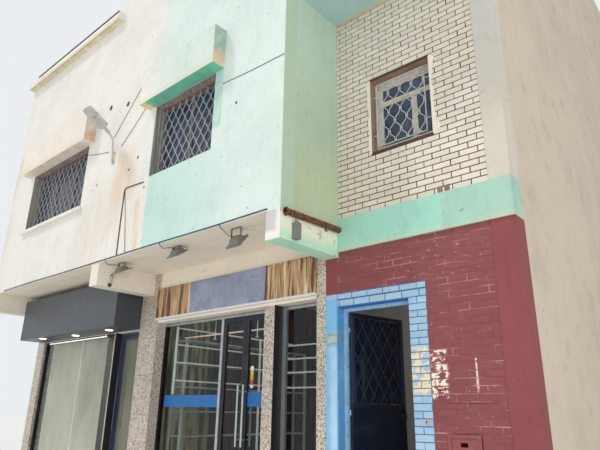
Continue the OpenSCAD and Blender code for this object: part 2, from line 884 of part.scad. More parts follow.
// A floodlight hung from the soffit by a stirrup; its glass looks down and in, at the shopfront
module floodlight(f) {
    translate([f[0], flood_y, f[1]]) rotate([f[2], 0, 0]) {
        difference() {
            translate([-flood_w / 2, 0, 0]) cube([flood_w, flood_l, flood_rim_t]);
            translate([-flood_w / 2 + flood_rim_w, flood_rim_w, -bite])
                cube([flood_w - 2 * flood_rim_w, flood_l - 2 * flood_rim_w, flood_rim_t / 2]);
        }
        translate([0, flood_l / 2, flood_rim_t - bite])
            linear_extrude(flood_back_t + bite, scale = flood_taper)
                square([flood_back_w, flood_back_l], center = true);
    }
    pivot = [f[0], flood_y + cos(f[2]) * flood_l / 2 - sin(f[2]) * 2 * flood_rim_t,
        f[1] + sin(f[2]) * flood_l / 2 + cos(f[2]) * 2 * flood_rim_t];
    translate(pivot) {
        for (x = [-stirrup_w / 2, stirrup_w / 2 - stirrup_t])
            translate([x, -stirrup_d / 2, -stirrup_d / 2])
                cube([stirrup_t, stirrup_d, soffit_1 - slack - pivot[2] + stirrup_d / 2]);
        translate([-stirrup_w / 2, -stirrup_d / 2, soffit_1 - slack - pivot[2] - stirrup_t])
            cube([stirrup_w, stirrup_d, stirrup_t]);
        translate([-stirrup_w / 2, 0, 0]) rotate([0, 90, 0]) cylinder(d = stirrup_d / 2, h = stirrup_w);
    }
}

module floodlights() {
    color("gray") for (f = floods) floodlight(f);
}

// The street lamp on the front
module lamp_head() {
    translate([0, 0, -neck_d / 2]) rotate([90, 0, 0]) linear_extrude(head_t, center = true) polygon([
        [-lamp_w / 2 + head_cut, 0], [lamp_w / 2 - head_cut, 0], [lamp_w / 2, head_cut],
        [lamp_w / 2, lamp_len - head_cut], [lamp_w / 2 - head_cut, lamp_len],
        [-lamp_w / 2 + head_cut, lamp_len], [-lamp_w / 2, lamp_len - head_cut], [-lamp_w / 2, head_cut]
    ]);
    translate([-driver_w / 2, 0, -neck_d / 2]) rotate([90, 0, 90]) linear_extrude(driver_w) polygon([
        [-head_t / 2, 0], [driver_t - head_t, 0], [driver_t - head_t, driver_len - head_cut],
        [0, driver_len], [-head_t / 2, driver_len]
    ]);
    translate([0, -head_t / 2 - sensor_d / 4, sensor_z]) rotate([-90, 0, 0])
        cylinder(d = sensor_d, h = head_t / 2);
}

module street_lamp() {
    color("gray") translate([beam_mid_x, yf - rod_d / 2 - 2 * bite, lamp_z]) {
        rotate([rod_lean, 0, 0]) {
            cylinder(d = rod_d, h = rod_len);
            translate([0, -rod_bend_r, rod_len - bite]) {
                rotate([90, 0, 90]) rotate_extrude(angle = 90 - lamp_tilt - rod_lean)
                    translate([rod_bend_r, 0]) circle(d = rod_d);
                rotate([90 - lamp_tilt - rod_lean, 0, 0]) translate([0, rod_bend_r, -bite]) {
                    cylinder(d = neck_d, h = neck_len);
                    translate([0, 0, neck_len]) lamp_head();
                }
            }
        }
        translate([-rod_d, 0, rod_d / 2]) cube([2 * rod_d, rod_d / 2 + 2 * bite, rod_d]);
        translate([-rod_d / 2, -rod_d / 2, rod_len / 2]) cube([rod_d, rod_d + 2 * bite, rod_d]);
    }
}

module meter_box() {
    color("dimgray") translate([corner_x, meter_y, meter_z]) {
        cube([meter_out, meter_w, meter_h]);
        for (y = [lug_d, meter_w - lug_d])
            translate([meter_out / 2, y, meter_h - bite]) cylinder(d = lug_d, h = lug_d);
    }
}

// The rusty drain pipe along the return wall, open at its front end, in two clips
module drip_ledge() {
    run = pipe_y[1] - pipe_y[0];
    fall = atan((pipe_z[1] - pipe_z[0]) / run);
    color("saddlebrown") {
        difference() {
            translate([corner_x + pipe_d / 2, pipe_y[0], pipe_z[0]]) rotate([fall - 90, 0, 0])
                cylinder(d = pipe_d, h = run * cos(fall));
            translate([corner_x + pipe_d / 2, pipe_y[0], pipe_z[0]]) rotate([fall - 90, 0, 0])
                translate([0, 0, -bite]) cylinder(d = pipe_d - 2 * pipe_wall, h = run / 2);
        }
        for (y = clip_ys) translate([corner_x, y, pipe_z[0] - pipe_d / 2 - pipe_wall])
            difference() {
                cube([pipe_d / 2, clip_w, pipe_d + 4 * pipe_wall]);
                translate([pipe_wall, -bite, pipe_wall])
                    cube([pipe_d, clip_w + 2 * bite, pipe_d + 2 * pipe_wall]);
            }
    }
}

module shop_shelves() {
    color("gainsboro") translate([partition_x + party_t, 0, 0]) {
        for (z = shelf_z) block(slack, shelf_d, shelf_y[0], shelf_y[1], z, z + shelf_t);
        for (y = [shelf_y[0] - upright_w - slack, shelf_y[1] + slack], x = [slack, shelf_d - upright_w])
            block(x, x + upright_w, y, y + upright_w, floor_0, shelf_z[5] + shelf_t);
    }
}

// A round tube along a path of points, as one closed skin of triangles
function unit(v) = v / norm(v);
function way_in(p, i) = i == 0 ? [0, 0, 0] : unit(p[i] - p[i - 1]);
function way_out(p, i) = i == len(p) - 1 ? [0, 0, 0] : unit(p[i + 1] - p[i]);
function ring_points(p, i, r) = let (
    t = unit(way_in(p, i) + way_out(p, i)), a = unit(cross(t, [0, 1, 0])), b = cross(t, a)
) [for (k = [0 : sides - 1]) p[i] + r * (cos(k * 360 / sides) * a + sin(k * 360 / sides) * b)];

module tube(r, path) {
    last = (len(path) - 1) * sides;
    polyhedron(
        points = [for (i = [0 : len(path) - 1], q = ring_points(path, i, r)) q],
        faces = [
            [for (k = [0 : sides - 1]) k],
            for (i = [0 : len(path) - 2], k = [0 : sides - 1])
                let (a = i * sides + k, b = i * sides + (k + 1) % sides) each
                [[a, a + sides, b], [b, a + sides, b + sides]],
            [for (k = [sides - 1 : -1 : 0]) last + k]
        ]);
}

module wall_cables() {
    color("black") for (c = cables) tube(c[0], c[1]);
}

ground_slab();
first_floor_slab();
second_floor_slab();
roof_slab();
beam_left();
beam_middle();
beam_right();
facade_left();
facade_right();
facade_second();
return_wall();
recess_wall();
recess_pier();
painted_band();
entrance_wall_left();
entrance_wall_over();
entrance_wall_right();
entrance_pier();
left_pier();
middle_pier();
slim_post();
right_pier();
left_shop_lintel();
right_shop_lintel();
party_wall_left();
party_wall_right();
rear_wall_left();
rear_wall_right();
terrace_side_wall();
shop_partition();
hall_partition();
parapet_coping();
roof_coping();
hood_left();
hood_right();
hood_second();
window_sill();
window_frames();
window_glass();
bay_window_frame();
sign_box();
sign_board();
left_shop_frame();
right_shop_frame();
shop_glass();
left_shop_door();
left_shop_door_glass();
pair_door_left();
pair_door_left_glass();
pair_door_right();
pair_door_right_glass();
entrance_frame();
entrance_door();
meter_hatch();
floodlights();
street_lamp();
meter_box();
drip_ledge();
shop_shelves();
wall_cables();
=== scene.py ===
"""The looks of a corner shop building in a terraced street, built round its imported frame.

The file is laid out as an add-on: sizes and colours are properties, each group of pieces has an
operator, and a panel lists them. Run as a script it makes the whole building and its stage.
Lengths are metres on the frame's axes: X to the right, Y into the building, Z up.
"""

import math

import bmesh
import bpy
from mathutils import Matrix, Vector


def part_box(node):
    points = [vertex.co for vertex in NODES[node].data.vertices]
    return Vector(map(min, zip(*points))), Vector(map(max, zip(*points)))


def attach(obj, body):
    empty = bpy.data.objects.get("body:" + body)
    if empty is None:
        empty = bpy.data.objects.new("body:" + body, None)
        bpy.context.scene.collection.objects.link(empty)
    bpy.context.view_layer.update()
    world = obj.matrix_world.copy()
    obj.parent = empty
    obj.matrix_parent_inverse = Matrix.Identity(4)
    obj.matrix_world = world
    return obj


bl_info = {
    "name": "Corner Shop Building",
    "version": (1, 0, 0),
    "blender": (4, 5, 0),
    "location": "3D View > Sidebar > Corner Shop",
    "description": "Tiles, grilles, shopfronts, lamps and finishes of a corner shop building",
    "category": "Add Mesh",
}

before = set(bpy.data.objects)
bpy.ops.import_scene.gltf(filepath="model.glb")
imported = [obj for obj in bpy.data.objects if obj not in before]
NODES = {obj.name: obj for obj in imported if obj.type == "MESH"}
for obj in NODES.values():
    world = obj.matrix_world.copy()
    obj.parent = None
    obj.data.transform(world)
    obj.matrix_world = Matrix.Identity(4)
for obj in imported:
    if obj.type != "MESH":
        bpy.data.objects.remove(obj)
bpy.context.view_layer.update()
BODY = "building"


def low(node):
    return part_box(node)[0]


def high(node):
    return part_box(node)[1]


# Planes and edges of the frame that the pieces are set against
FRONT_Y = low("facade_left").y
SHOP_Y = low("middle_pier").y
CORNER_X = high("facade_right").x
SOFFIT_1 = low("facade_left").z
SOFFIT_2 = low("facade_second").z
SHOP_GLASS_Y = (low("right_shop_frame").y + high("right_shop_frame").y) / 2

# The entrance: foot of its upper tiles, top of its blue head and right edge of its blue side
TILES_FOOT = 2.774
BLUE_TOP = 2.770
BLUE_RIGHT = 4.111


def paint(red, green, blue):
    """A display colour from 0 to 255 as the linear colour that shaders take."""
    return tuple(
        c / 12.92 if c <= 0.04045 else ((c + 0.055) / 1.055) ** 2.4
        for c in (red / 255, green / 255, blue / 255)
    )


def scaled(colour, factor):
    return tuple(min(1.0, c * factor) for c in colour)


# ---------------------------------------------------------------------------------------------
# Sizes and colours that a user would change


def colour_property(name, text, value):
    return bpy.props.FloatVectorProperty(
        name=name, description=text, default=paint(*value), size=3,
        min=0.0, max=1.0, subtype="COLOR",
    )


def length_property(name, text, value):
    return bpy.props.FloatProperty(
        name=name, description=text, default=value, min=0.0, unit="LENGTH", precision=4,
    )


class ShopColours(bpy.types.PropertyGroup):
    """Paints and stones of the building."""

    white: colour_property("White", "Render of the left front", (238, 235, 228))
    mint: colour_property("Pale mint", "Render of the right front", (219, 233, 226))
    fresh: colour_property("Fresh mint", "Stronger mint below the right sill", (196, 227, 217))
    mint_deep: colour_property("Mint", "Band over the entrance", (165, 218, 200))
    teal: colour_property("Teal", "Underside of the right hood", (122, 204, 174))
    sage: colour_property("Sage", "Return wall beside the bay", (184, 204, 180))
    sky: colour_property("Pale blue", "Soffit of the recess over the bay", (182, 212, 210))
    cream: colour_property("Cream", "Soffits and the shop lintels", (246, 236, 218))
    tile: colour_property("Tile", "Brick tiles of the bay", (228, 219, 206))
    joint: colour_property("Joint", "Joints between the tiles", (70, 52, 46))
    maroon: colour_property("Maroon", "Paint round the entrance", (136, 70, 72))
    blue: colour_property("Blue", "Paint at the doorway", (124, 186, 226))
    blue_tile: colour_property("Pale blue tile", "Tiles round the doorway", (172, 201, 222))
    granite: colour_property("Granite", "Cladding of the shop piers", (204, 193, 179))


class ShopSizes(bpy.types.PropertyGroup):
    """Sizes of the repeated pieces."""

    tile_length: length_property("Tile length", "Length of a tile and one joint", 0.218)
    tile_height: length_property("Tile course", "Height of a tile and one joint", 0.074)
    tile_joint: length_property("Joint", "Width of a joint", 0.010)
    tile_proud: length_property("Tile stands out", "How far a tile stands out of its joints", 0.006)
    grille_bar: length_property("Grille bar", "Thickness of a grille bar", 0.012)
    grille_half: length_property("Half diamond", "Half the width of a diamond", 0.085)
    grille_step: length_property("Half diamond height", "Half the height of a diamond", 0.135)
    scroll_bar: length_property("Bay grille bar", "Thickness of a bar of the bay's grille", 0.009)


# ---------------------------------------------------------------------------------------------
# Node trees


class Value:
    """An output of a node that takes part in ordinary arithmetic."""

    def __init__(self, tree, socket):
        self.tree, self.socket = tree, socket

    def __add__(self, other):
        return self.tree.math("ADD", self, other)

    def __sub__(self, other):
        return self.tree.math("SUBTRACT", self, other)

    def __rsub__(self, other):
        return self.tree.math("SUBTRACT", other, self)

    def __mul__(self, other):
        return self.tree.math("MULTIPLY", self, other)

    def __truediv__(self, other):
        return self.tree.math("DIVIDE", self, other)

    def __mod__(self, other):
        return self.tree.math("FLOORED_MODULO", self, other)

    def __lt__(self, other):
        return self.tree.math("LESS_THAN", self, other)

    def __gt__(self, other):
        return self.tree.math("GREATER_THAN", self, other)

    def floor(self):
        return self.tree.math("FLOOR", self)

    def least(self, other):
        return self.tree.math("MINIMUM", self, other)

    def most(self, other):
        return self.tree.math("MAXIMUM", self, other)

    def ramp(self, start, end):
        """0 below start and 1 above end, or the other way round where end is the lower."""
        return self.tree.get(
            "ShaderNodeMapRange", {"interpolation_type": "SMOOTHSTEP"},
            Value=self, From_Min=start, From_Max=end,
        )


class Tree:
    """Makes and links the nodes of one tree."""

    def __init__(self, tree):
        self.tree = tree

    def node(self, kind, settings=None, **inputs):
        made = self.tree.nodes.new(kind)
        for key, value in (settings or {}).items():
            setattr(made, key, value)
        for key, value in inputs.items():
            self.feed(made.inputs[key.replace("_", " ")], value)
        return made

    def get(self, kind, settings=None, output=0, **inputs):
        return Value(self, self.node(kind, settings, **inputs).outputs[output])

    def feed(self, socket, value):
        if isinstance(value, Value):
            self.tree.links.new(value.socket, socket)
        elif socket.type == "RGBA" and len(value) == 3:
            socket.default_value = (*value, 1.0)
        else:
            socket.default_value = value

    def row(self, kind, settings, values, output=0):
        """A node fed in the order of its inputs."""
        made = self.node(kind, settings)
        for socket, value in zip(made.inputs, values):
            self.feed(socket, value)
        return Value(self, made.outputs[output])

    def math(self, operation, *values):
        return self.row("ShaderNodeMath", {"operation": operation}, values)


# ---------------------------------------------------------------------------------------------
# Materials


class Finish(Tree):
    """A procedural material on the object's own coordinates, painted coat upon coat."""

    def __init__(self, name, colour=None, rough=0.8):
        self.material = bpy.data.materials.new(name)
        self.material.use_nodes = True
        super().__init__(self.material.node_tree)
        self.tree.nodes.clear()
        self.shader = self.node("ShaderNodeBsdfPrincipled")
        self.node("ShaderNodeOutputMaterial", Surface=Value(self, self.shader.outputs[0]))
        self.place = self.get("ShaderNodeTexCoord", output="Object")
        split = self.node("ShaderNodeSeparateXYZ", Vector=self.place)
        self.x, self.y, self.z = (Value(self, socket) for socket in split.outputs)
        self.colour, self.rough, self.height = colour, rough, None

    def mix(self, share, a, b, blend="MIX"):
        made = self.node("ShaderNodeMix", {"data_type": "RGBA", "blend_type": blend})
        for number, value in ((0, share), (6, a), (7, b)):
            self.feed(made.inputs[number], value)
        return Value(self, made.outputs[2])

    def coat(self, colour, mask=None, share=1.0, blend="MIX", **area):
        """Lay a colour over the present one, where the mask is or in an area of Finish.area."""
        if mask is None:
            mask = self.area(**area)
        if share != 1.0:
            mask = mask * share
        self.colour = self.mix(mask, self.colour, colour, blend)

    def noise(self, scale, detail=4.0, rough=0.55, stretch=(1, 1, 1), shift=(0, 0, 0), bend=0.0):
        place = self.place
        if stretch != (1, 1, 1) or shift != (0, 0, 0):
            place = self.get("ShaderNodeMapping", Vector=place, Scale=stretch, Location=shift)
        return self.get(
            "ShaderNodeTexNoise", Vector=place, Scale=scale, Detail=detail, Roughness=rough,
            Distortion=bend,
        )

    def wobbled(self, axis, wobble, scale):
        return (self.noise(scale, 5) - 0.5) * (wobble * 2) + axis if wobble else axis

    def area(self, x=None, y=None, z=None, soft=0.02, wobble=0.0, scale=4.0):
        """1 inside a box of the given spans, with soft and uneven edges."""
        mask = None
        for axis, span in ((self.x, x), (self.y, y), (self.z, z)):
            if span is None:
                continue
            moved = self.wobbled(axis, wobble, scale)
            for edge, way in zip(span, (soft, -soft)):
                if edge is not None:
                    side = moved.ramp(edge - way, edge + way)
                    mask = side if mask is None else mask * side
        return mask

    def spot(self, x, z, radius):
        """1 within a round spot with an uneven edge, on an upright face along X."""
        soft = 0.010
        dx = self.wobbled(self.x, 0.03, 20.0) - x
        dz = self.z - z
        distance = self.math("SQRT", dx * dx + dz * dz)
        return distance.ramp(radius + soft, radius - soft)

    def cracks(self, scale, width, share):
        """Thin lines along the edges of bent cells, kept in a share of the surface."""
        bend = self.get(
            "ShaderNodeTexNoise", output=1, Vector=self.place, Scale=scale * 2.5, Detail=4.0,
        )
        moved = self.row(
            "ShaderNodeVectorMath", {"operation": "MULTIPLY_ADD"},
            (bend, (0.35 / scale,) * 3, self.place),
        )
        edge = self.get(
            "ShaderNodeTexVoronoi", {"feature": "DISTANCE_TO_EDGE"}, Vector=moved, Scale=scale,
        )
        kept = self.noise(scale * 0.7, 3, shift=(3.7, 1.3, 9.1)).ramp(1 - share, 1.05 - share)
        return edge.ramp(width, 0.0) * kept

    def age(self, dirt=0.25, crack=0.30, streaks=0.25, marks=0.6):
        """Age lime render: mottled tone, smudges, runs, trowel strokes, chips and hair cracks."""
        broad = self.noise(0.8, 5, 0.6)
        cloud = self.noise(3.2, 6, 0.62, shift=(5, 2, 1))
        grain = self.noise(60, 4, 0.6)
        trowel = self.noise(9, 4, 0.5, stretch=(1, 1, 1.8), bend=0.6)
        strokes = self.noise(4.4, 4, 0.55, stretch=(1.8, 1.8, 0.7), shift=(8, 1, 3), bend=1.0)
        strokes = strokes.ramp(0.52, 0.70)
        runs = self.noise(5.5, 5, 0.6, stretch=(1, 1, 0.09)).ramp(0.55, 0.75)
        chips = self.noise(19, 2, 0.4, shift=(7, 7, 7)).ramp(0.735, 0.760)
        cracks = self.cracks(0.9, 0.0035, crack).most(self.cracks(3.1, 0.0040, crack * 0.7))
        for tone, mask, share in (
            ((0.93, 0.93, 0.93), broad.ramp(0.38, 0.66), 1.0),
            ((0.52, 0.50, 0.45), cloud.ramp(0.50, 0.74), dirt),
            ((0.62, 0.60, 0.56), runs, streaks),
            ((0.93, 0.93, 0.94), strokes, 0.7),
            ((0.34, 0.31, 0.28), chips, marks),
            ((0.36, 0.34, 0.32), cracks, 0.5),
        ):
            self.coat(tone, mask, share, "MULTIPLY")
        raised = trowel + cloud * 0.8 + grain * 0.22 + strokes * 0.3
        self.height = raised - chips * 0.5 - cracks * 0.9
        self.rough = grain * 0.10 + broad * 0.06 + 0.80
        return self

    def finish(self, strength=0.5, depth=0.01, **sockets):
        """The material with its present colour, roughness and height."""
        if self.height is not None:
            sockets["Normal"] = self.get(
                "ShaderNodeBump", Height=self.height, Strength=strength, Distance=depth,
            )
        for key, value in {"Base_Color": self.colour, "Roughness": self.rough, **sockets}.items():
            self.feed(self.shader.inputs[key.replace("_", " ")], value)
        return self.material


def aged_wall(name, base, tints=(), **ageing):
    """Aged render of one paint; each tint is (colour, share, options of Finish.area)."""
    f = Finish(name, base)
    patchy = f.noise(3.2, 6, 0.62, shift=(5, 2, 1)).ramp(0.10, 0.52)
    for tint, share, area in tints:
        f.coat(tint, f.area(**area) * share * patchy)
    return f.age(**ageing)


def wall_finish(name, base, tints=(), **ageing):
    return aged_wall(name, base, tints, **ageing).finish(0.40, 0.012)


# Stains of the front and the painted hood shadow beside the right window: (colour, share, area),
# and its holes: (x, z, radius)
FRONT_STAINS_AND_SHADOW = (
    (paint(226, 196, 150), 0.75, dict(x=(-0.16, 0.06), z=(3.6, 4.45), soft=0.06, wobble=0.08)),
    (paint(232, 208, 178), 0.70, dict(x=(-0.95, -0.20), z=(4.55, 5.45), soft=0.20, wobble=0.2)),
    (paint(232, 214, 194), 0.45, dict(x=(-1.9, -0.2), z=(3.6, 4.9), soft=0.35, wobble=0.3)),
    (paint(216, 190, 168), 0.40, dict(x=(None, -4.95), z=(4.2, 6.6), soft=0.12, wobble=0.15)),
    # Stronger mint beside the right window, darkened with the painted shade of the hood's shadow
    (paint(140, 200, 182), 0.85, dict(x=(1.597, 1.765), z=(5.05, 5.98), soft=0.012, wobble=0.02)),
)
FRONT_HOLES = (
    (-1.339, 6.517, 0.052), (-0.758, 6.372, 0.048), (-1.45, 5.04, 0.020), (-1.60, 4.98, 0.014),
    (-0.23, 5.19, 0.026), (0.05, 4.60, 0.018), (2.07, 5.28, 0.022), (-0.47, 5.04, 0.022),
)


def front_finish(name, c):
    """The painted front: white at the left, pale mint at the right, stronger below the sill."""
    f = Finish(name)
    blended = f.wobbled(f.x, 0.30, 0.8).ramp(0.60, -0.40)
    cut = f.area(x=(None, 0.150), soft=0.008, wobble=0.014, scale=9)
    below = f.area(z=(None, 4.76), soft=0.03, wobble=0.04)
    f.colour = f.mix(below * (cut - blended) + blended, c.mint, c.white)
    fresh = below * f.wobbled(f.x, 0.35, 1.1).ramp(2.4, 0.7)
    f.coat(c.fresh, fresh * (1.0 - cut), 0.9)
    runs = f.noise(7, 4, 0.5, stretch=(1, 1, 0.14)).ramp(0.30, 0.66)
    for tint, share, area in FRONT_STAINS_AND_SHADOW:
        f.coat(tint, f.area(**area) * share * runs)
    f.age(dirt=0.10, crack=0.34, streaks=0.14, marks=0.55)
    for x, z, radius in FRONT_HOLES:
        f.coat(paint(74, 68, 62), f.spot(x, z, radius))
    # The reveals of the window openings are painted grey: painted shade of the recesses, with
    # streaks of grime
    first_row = f.area(x=(None, CORNER_X - 0.05), z=(4.74, 5.965), soft=0.001)
    second_row = f.area(x=(-1.30, 4.6), z=(7.62, 9.085), soft=0.001)
    shaded_reveals = first_row.most(second_row) * f.area(y=(FRONT_Y + 0.006, None), soft=0.002)
    grimy = f.noise(11, 4, 0.6, stretch=(3, 3, 0.10)).ramp(0.35, 0.66)
    f.coat(f.mix(grimy, paint(168, 163, 157), paint(118, 112, 104)), shaded_reveals)
    soffit = f.mix(f.area(y=(None, FRONT_Y + 0.03), soft=0.003), c.cream, c.white)
    f.coat(soffit, z=(None, SOFFIT_1 + 0.003), soft=0.001)
    f.coat(c.sage, x=(CORNER_X - 0.003, CORNER_X + 0.01), z=(None, SOFFIT_2), soft=0.001)
    return f.finish(0.42, 0.012)


def hood_finish(node, front, under, side_shade_and_stains=None, bare=None):
    """A window hood: its right side painted darker as shade, stained above and below, and width
    bare of paint below.
    """
    lo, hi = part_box(node)
    f = Finish(node + "_render", front)
    if bare:
        f.coat(paint(240, 238, 230), f.wobbled(f.x, 0.25, 0.9).ramp(1.1, 0.1))
    f.age(dirt=0.14, crack=0.35, streaks=0.22)
    # The right side faces away from the light: painted shade, mottled, in stained colours above and
    # below
    if side_shade_and_stains:
        mottled = f.noise(6, 5, 0.6).ramp(0.25, 0.60) * 0.5 + 0.4
        shade = f.mix(f.area(z=(None, lo.z + 0.22), soft=0.08, wobble=0.08), *side_shade_and_stains)
        f.coat(shade, f.area(x=(hi.x - 0.006, None), soft=0.002) * mottled)
    f.coat(paint(226, 208, 170), share=0.35, z=(lo.z, lo.z + 0.10), soft=0.05, wobble=0.05)
    shade = f.mix(f.noise(5, 5, 0.6).ramp(0.42, 0.68), under, scaled(under, 0.86))
    if bare:
        end = f.area(x=(None, lo.x + bare), soft=0.03, wobble=0.05)
        shade = f.mix(end, shade, paint(232, 208, 160))
    f.coat(shade, z=(None, lo.z + 0.004), soft=0.002)
    return f.finish(0.45, 0.012)


def coping_finish(node, front):
    """A coping with a stained underside, drips at its foot and a grey top."""
    lo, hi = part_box(node)
    f = Finish(node + "_render", front).age(dirt=0.25, crack=0.3, streaks=0.3)
    stained = f.mix(f.noise(4, 5, 0.6).ramp(0.35, 0.65), paint(236, 228, 206), paint(212, 202, 176))
    f.coat(stained, share=0.9, z=(None, lo.z + 0.014), soft=0.004)
    f.coat(paint(206, 188, 146), share=0.5, z=(lo.z, lo.z + 0.05), soft=0.03, wobble=0.03)
    f.coat(paint(120, 116, 112), z=(hi.z - 0.003, None), soft=0.001)
    return f.finish(0.5, 0.014)


def beam_finish(name, white):
    """The end of the right beam: white front with a grey patch, stained side and mint underside."""
    lo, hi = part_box("beam_right")
    f = Finish(name, white)
    patch = dict(x=(None, lo.x + 0.16), z=(lo.z + 0.10, None), soft=0.03, wobble=0.05)
    f.coat(paint(176, 178, 174), share=0.6, **patch)
    foot = f.area(z=(None, lo.z + 0.12), soft=0.06, wobble=0.06)
    side = f.mix(foot, paint(246, 250, 222), paint(206, 240, 216))
    lichen = f.noise(9, 5, 0.65, shift=(1, 6, 2)).ramp(0.54, 0.66)
    lichen = lichen * f.area(z=(lo.z + 0.16, None), soft=0.06, wobble=0.05)
    side = f.mix(lichen * 0.7, side, paint(134, 140, 104))
    f.coat(side, x=(hi.x - 0.004, None), soft=0.001)
    f.coat(paint(196, 246, 216), z=(None, lo.z + 0.004), soft=0.002)
    return f.age(dirt=0.2, crack=0.3, streaks=0.2).finish(0.4, 0.012)


def slab_finish(name, cream, sky):
    """The slab over the first floor: cream, and pale blue where it is the recess's soffit."""
    f = Finish(name, cream)
    f.coat(sky, x=(CORNER_X, None), y=(None, SHOP_Y - 0.002), soft=0.001)
    edge = dict(x=(CORNER_X, None), y=(SHOP_Y - 0.05, SHOP_Y), soft=0.012, wobble=0.01, scale=8)
    f.coat(paint(214, 206, 150), share=0.8, **edge)
    return f.age(dirt=0.15, crack=0.3, streaks=0.1).finish(0.35, 0.012)


def shop_wall(name):
    """The wall behind the shelves, with upright bands of goods that are darker behind the doors."""
    f = Finish(name)
    bands = f.noise(9, 3, 0.6, stretch=(1, 1, 0.10))
    packs = f.noise(7, 2, 0.5, stretch=(1, 1, 0.14), shift=(0, 3, 8))
    f.colour = f.mix(bands.ramp(0.42, 0.56), paint(206, 190, 148), paint(92, 82, 66))
    back = f.mix(bands.ramp(0.42, 0.50), paint(64, 66, 92), paint(60, 52, 50))
    back = f.mix(packs.ramp(0.56, 0.60), back, paint(128, 52, 60))
    f.coat(back, y=(-2.66, None), soft=0.02)
    return f.age(dirt=0.3, crack=0.2, streaks=0.1).finish(0.3, 0.01)


def tile_tone(f):
    """The tone that each tile was given when it was laid."""
    return f.get("ShaderNodeAttribute", {"attribute_name": "tone"}, "Fac")


def paint_spots(f, scale):
    return f.noise(scale, 5, 0.62, shift=(1, 4, 2), stretch=(1, 1, 1.6))


def tile_finish(name, body, dirt, patches, worn=None, gloss=0.5, spread=0.10, brush=0.18):
    """Painted brick tile: a tone of its own for each tile, brushed paint, chips and dirt.

    Each patch is (colour, share, noise above which it shows, options of Finish.area).
    """
    f = Finish(name)
    tone = tile_tone(f)
    cloud = f.noise(2.2, 5, 0.6)
    brushed = f.noise(30, 4, 0.6, stretch=(0.35, 1, 1.6))
    f.colour = f.mix(tone.ramp(0.0, 1.0), scaled(body, 1 - spread), body)
    f.coat(dirt, cloud.ramp(0.42, 0.70), 0.40, "MULTIPLY")
    f.coat(scaled(body, 0.70), brushed.ramp(0.52, 0.70), brush)
    chipped = 0.0
    for tint, share, cut, area in patches:
        mask = f.area(**area) * paint_spots(f, area["scale"]).ramp(cut, cut + 0.03) * share
        f.coat(tint, mask)
        chipped = mask.most(chipped)
    if worn:
        tint, cut = worn
        f.coat(tint, f.noise(34, 3, 0.5, shift=(2, 9, 4)).ramp(cut, cut + 0.025))
    grain = f.noise(160, 3, 0.55)
    f.height = brushed * 0.5 + grain * 0.25 + cloud * 0.5 + tone * 0.3 - chipped * 0.6
    f.rough = brushed * 0.25 + gloss
    return f.finish(0.35, 0.004)


def blue_tile_finish(name, whitish, blue):
    """Pale tiles brushed over with blue, paler at the foot and peeled beside the door."""
    f = Finish(name)
    tone = tile_tone(f)
    brushed = f.noise(16, 5, 0.62, stretch=(0.22, 1, 1.5))
    f.colour = f.mix(tone.ramp(0.0, 1.0), scaled(whitish, 0.90), whitish)
    f.coat(scaled(blue, 0.94), brushed.ramp(0.47, 0.68), 0.72)
    f.coat(paint(176, 206, 230), share=0.85, z=(None, 1.15), soft=0.12, wobble=0.12)
    peeled = f.area(x=(3.89, 4.12), z=(1.58, 2.06), soft=0.03, wobble=0.05, scale=9.0)
    peeled = peeled * paint_spots(f, 9).ramp(0.46, 0.49)
    f.coat(paint(238, 220, 184), peeled)
    f.height = brushed * 0.5 + f.noise(3.0, 5, 0.6) * 0.4 + tone * 0.3 - peeled * 0.6
    f.rough = brushed * 0.2 + 0.42
    return f.finish(0.35, 0.004)


def mortar(f):
    f.rough, f.height = 0.92, f.noise(55, 5, 0.65)
    return f.finish(0.5, 0.004)


def bay_joints(name, joint, reveal):
    """Mortar between the tiles of the bay, and the bare reveal of its window."""
    f = Finish(name)
    f.colour = f.mix(f.noise(55, 5, 0.65).ramp(0.35, 0.7), joint, scaled(joint, 1.7))
    bare = f.mix(f.noise(8, 5).ramp(0.4, 0.7), reveal, scaled(reveal, 0.75))
    f.coat(bare, y=(SHOP_Y + 0.004, None), soft=0.002)
    return mortar(f)


def entrance_joints(name, maroon, edges):
    """Painted mortar that shows bare in veins; each edge is (colour, options of Finish.area)."""
    f = Finish(name, scaled(maroon, 1.12))
    veins = f.noise(4.5, 4, 0.6, stretch=(0.5, 1, 1.5), shift=(4, 0, 2)).ramp(0.46, 0.66)
    f.coat(paint(206, 158, 148), veins, 0.75)
    for tint, area in edges:
        f.coat(tint, soft=0.002, **area)
    return mortar(f)


def granite_finish(name, base):
    """Speckled slabs with grains of about a centimetre; the slim post's inner side is painted
    black, the painted shade of the narrow gap beside it.
    """
    f = Finish(name)
    tone, fine = (
        f.get("ShaderNodeSeparateColor", output=number, Color=f.get(
            "ShaderNodeTexVoronoi", output=1, Vector=f.place, Scale=scale,
        )) for number, scale in enumerate((78.0, 190.0))
    )
    cloud = f.noise(3, 4)
    f.colour = f.mix(tone.ramp(0.10, 0.70), scaled(base, 0.72), scaled(base, 1.22))
    f.coat(paint(84, 76, 72), tone.ramp(0.84, 0.86))
    f.coat(paint(124, 106, 96), tone.ramp(0.16, 0.14))
    f.coat(paint(120, 96, 84), fine.ramp(0.74, 0.78), 0.6)
    f.coat(paint(240, 232, 222), fine.ramp(0.24, 0.20), 0.6)
    f.coat(paint(140, 128, 116), cloud.ramp(0.5, 0.75), 0.20)
    # Painted shade: the slim post's side in the narrow gap is painted black
    side = high("slim_post").x
    f.coat(paint(30, 30, 32), x=(side - 0.002, side + 0.004), soft=0.001)
    f.rough, f.height = cloud * 0.2 + 0.28, tone * 0.3 + cloud * 0.4
    return f.finish(0.12, 0.003)


